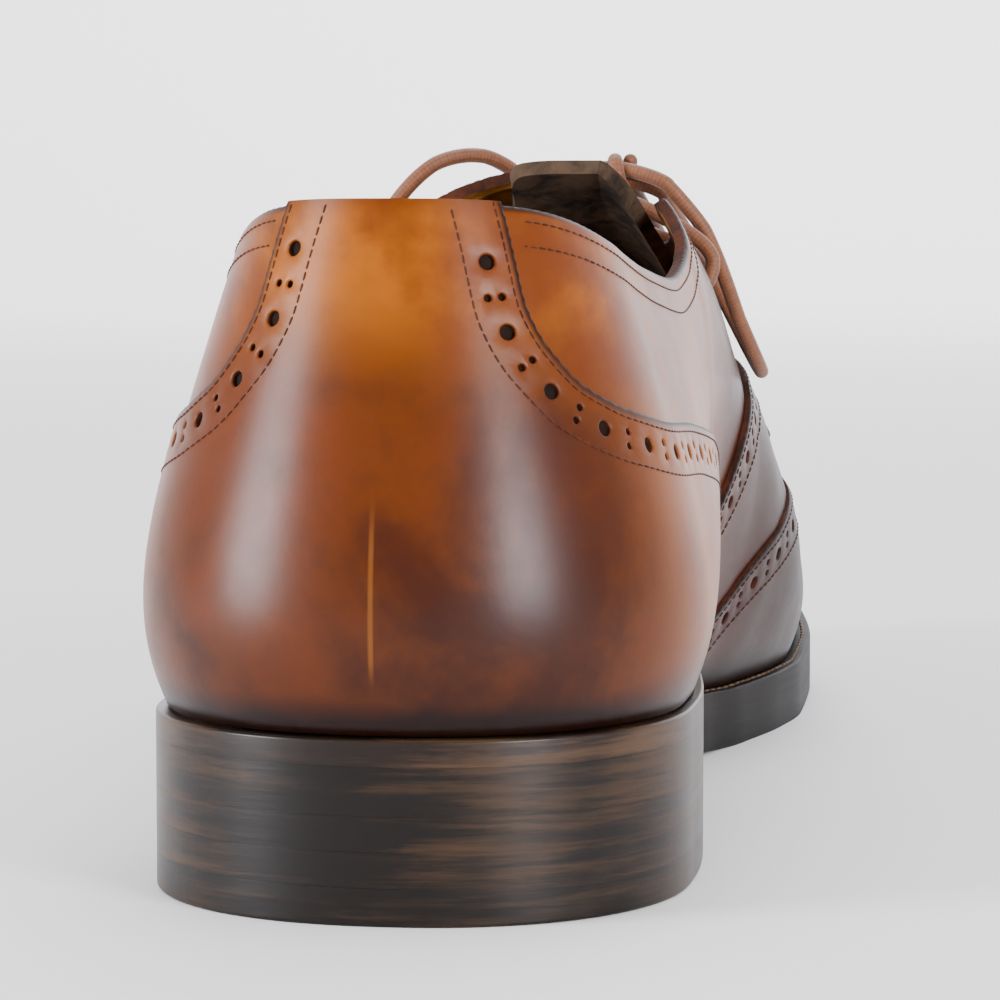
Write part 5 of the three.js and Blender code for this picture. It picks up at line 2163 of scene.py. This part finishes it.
def stacked_leather(name: str, light: tuple, dark: tuple, roughness: float) -> bpy.types.Material:
    """The trimmed edge of leather lifts, inked and polished, with its layers as level streaks; the middle of
    the heel's back is darkened and the forepart painted near black, both painted shade.

    Args:
        name: the material's name.
        light: the colour of its lighter streaks.
        dark: the colour of its darker ones.
        roughness: its gloss.

    Returns:
        The material.
    """
    look = Look(name, Roughness=roughness, Specular_IOR_Level=0.12, Coat_Weight=0.2, Coat_Roughness=0.26)
    where, x, y, _ = look.place()
    streak = look.noise(look.stretched(where, 30, 30, 620), 1, 5, 0.7, 0.25)
    cloud = look.noise(where, 55, 3, 0.5)
    # painted shade: the middle of the heel's back is darker, where the softboxes light only its two sides
    painted_middle_shade = x.bell(0.004, 0.024) * y.step(-0.1, -0.13)
    tone = (streak * 0.75 + cloud * 0.35 - painted_middle_shade * 0.13).step(0.42, 0.68)
    colour = look.mix(tone, dark, light)
    # painted shade: at the forepart the edges of sole and welt are painted near black, for the shadow of the
    # upper over them
    forward = y.step(-0.068, -0.03)
    look.feed(Base_Color=look.mix(forward * 0.93, colour, srgb(9, 6, 5)))
    look.feed(Coat_Weight=(1 - forward) * 0.2)
    look.feed(Normal=look.bumped(streak + look.noise(where, 1200, 3) * 0.3, 0.12, 0.0004))
    look.feed(Roughness=(streak * 0.2 + forward * 0.16 + roughness - 0.1))
    return look.material


def woven_lace() -> bpy.types.Material:
    """The braided lace, its strands crossing.

    Returns:
        The material.
    """
    look = Look("woven_lace", Roughness=0.62, Sheen_Weight=0.25)
    along, around = look.measure("along_mm"), look.measure("around")
    phase = along * (2 * math.pi / 1.3)
    weave = (around * 6 + phase).sum("SINE") * (around * 6 - phase).sum("SINE")
    where, *_ = look.place()
    tone = weave * 0.2 + look.noise(where, 900, 2) * 0.6 + 0.2
    look.feed(Base_Color=look.mix(tone.step(0.1, 0.9), srgb(76, 36, 8), srgb(122, 66, 18)))
    look.feed(Normal=look.bumped(look.noise(where, 2500, 2), 0.3, 0.0003))
    return look.material


class Looks:
    """All the shoe's finishes."""

    def __init__(self, shop: Workshop) -> None:
        """Makes each once.

        Args:
            shop: the workshop.
        """
        seam = shop.place(relieved(Side.INNER, np.array([LAST.foot_start]), np.array([0.3])))[0]
        self.leather = BurnishedLeather(seam_x=float(seam[0])).make()
        self.lining = plain_leather("tan_lining", srgb(146, 98, 34), srgb(92, 54, 16), 0.6, 60)
        self.edge = plain_leather("inked_edge", srgb(66, 28, 8), srgb(34, 13, 4), 0.85, 220)
        self.suede = plain_leather("mottled_suede", srgb(70, 54, 40), srgb(20, 14, 10), 0.95, 160)
        self.insole = plain_leather("insole_leather", srgb(170, 118, 56), srgb(120, 78, 34), 0.55, 40)
        self.hole = plain_leather("hole_shadow", srgb(30, 12, 4), srgb(12, 5, 2), 0.9, 200)
        self.thread = plain_leather("waxed_thread", srgb(66, 30, 8), srgb(42, 18, 5), 0.5, 300)
        self.welt_thread = plain_leather("welt_thread", srgb(96, 70, 44), srgb(58, 40, 24), 0.6, 300)
        self.stacked = stacked_leather("stacked_leather", srgb(52, 35, 19), srgb(12, 7, 4), 0.36)
        self.top_piece = stacked_leather("rubber_top_piece", srgb(48, 33, 19), srgb(12, 7, 4), 0.38)
        self.sole = stacked_leather("sole_edge", srgb(52, 35, 19), srgb(12, 7, 4), 0.36)
        self.welt = stacked_leather("welt_leather", srgb(66, 46, 28), srgb(22, 13, 8), 0.36)
        self.lace = woven_lace()
        self.tip = plain_leather("waxed_tip", srgb(70, 40, 20), srgb(50, 26, 14), 0.35, 200)


@dataclass(frozen=True)
class Studio:
    """The camera at the photograph's angle, soft lights and a pale floor."""

    eye: tuple[float, float, float] = (106.6, -624.5, 94.0)
    aim: tuple[float, float, float] = (4.0, 0.0, 42.0)
    lens: float = 139.0
    wall_away: float = 3.6
    wall_height: float = 2.6
    sweep: float = 1.4
    tint: tuple[float, float, float] = (0.95, 0.95, 1.0)
    sky: float = 0.25
    sensor: float = 36.0
    spokes: int = 96

    def camera(self) -> None:
        """Places the camera."""
        data = bpy.data.cameras.new("camera")
        data.lens = self.lens
        data.sensor_width = self.sensor
        data.clip_start, data.clip_end = 0.01, 100
        camera = bpy.data.objects.new("camera", data)
        bpy.context.scene.collection.objects.link(camera)
        eye, aim = Vector(self.eye) * MM, Vector(self.aim) * MM
        camera.location = eye
        camera.rotation_euler = (aim - eye).to_track_quat("-Z", "Y").to_euler()
        bpy.context.scene.camera = camera

    def lamp(self, name: str, place: tuple, target: tuple, size: tuple, power: float) -> None:
        """Adds one softbox.

        Args:
            name: the lamp's name.
            place: where it hangs, in metres.
            target: what it faces, in metres.
            size: its width and height, in metres.
            power: in watts.
        """
        data = bpy.data.lights.new(name, "AREA")
        data.shape = "RECTANGLE"
        data.size, data.size_y = size
        data.energy = power
        data.color = self.tint
        lamp = bpy.data.objects.new(name, data)
        bpy.context.scene.collection.objects.link(lamp)
        lamp.location = place
        lamp.rotation_euler = (Vector(target) - Vector(place)).to_track_quat("-Z", "Y").to_euler()

    def build(self) -> None:
        """Lights the shoe and lays the floor, which rises all round into a plain wall."""
        self.lamp("softbox_left", (-1.05, -0.7, 0.27), (0, -0.1, 0.06), (0.46, 0.6), 34)
        self.lamp("softbox_right", (1.0, -0.95, 0.29), (0, -0.1, 0.06), (0.46, 0.64), 30)
        self.lamp("overhead", (0.1, 0.1, 1.7), (0, 0, 0), (1.7, 1.7), 30)
        self.lamp("backdrop_lamp", (0, 2.1, 2.3), (0, 3.5, 0.5), (2.4, 0.7), 150)
        world = bpy.data.worlds.new("studio")
        bpy.context.scene.world = world
        world.use_nodes = True
        sky = world.node_tree.nodes["Background"].inputs
        sky["Color"].default_value = (1, 1, 1, 1)
        sky["Strength"].default_value = self.sky
        self.backdrop()

    def backdrop(self) -> None:
        """A seamless round sweep: the floor, its curve up and its wall, spun about the shoe."""
        turn = np.linspace(0, math.pi / 2, 13)[1:]
        flat = self.wall_away - self.sweep
        profile = [(0.02, 0.0), (0.4, 0.0), (flat, 0.0)]
        profile += [(flat + self.sweep * math.sin(a), self.sweep * (1 - math.cos(a))) for a in turn]
        profile.append((self.wall_away, self.wall_height))
        count = self.spokes
        angle = np.arange(count) * 2 * math.pi / count
        points = [(0.0, 0.0, 0.0)]
        points += [(r * math.cos(a), r * math.sin(a), z) for r, z in profile for a in angle]
        faces = [(0, 1 + i, 1 + (i + 1) % count) for i in range(count)]
        for ring in range(len(profile) - 1):
            low = 1 + ring * count
            faces += [(low + i, low + count + i, low + count + (i + 1) % count, low + (i + 1) % count)
                      for i in range(count)]
        mesh = bpy.data.meshes.new("floor")
        mesh.from_pydata(points, [], faces)
        mesh.shade_smooth()
        floor = bpy.data.objects.new("floor", mesh)
        bpy.context.scene.collection.objects.link(floor)
        look = Look("pale_floor", Base_Color=(0.9, 0.9, 0.9, 1), Roughness=0.85, Specular_IOR_Level=0.2)
        floor.data.materials.append(look.material)


def main() -> None:
    """Builds the shoe, sub-assembly by sub-assembly."""
    logging.basicConfig(level=logging.INFO, format="%(message)s")
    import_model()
    studio = Studio()
    studio.camera()
    shop = Workshop()
    looks = Looks(shop)
    lacing = Lacing()
    lacing.bow(shop, looks)
    Bottom().build(shop, looks)
    uppers = Uppers()
    uppers.build(shop, looks)
    lacing.build(shop, looks, uppers)
    studio.build()


if __name__ == "__main__":
    main()
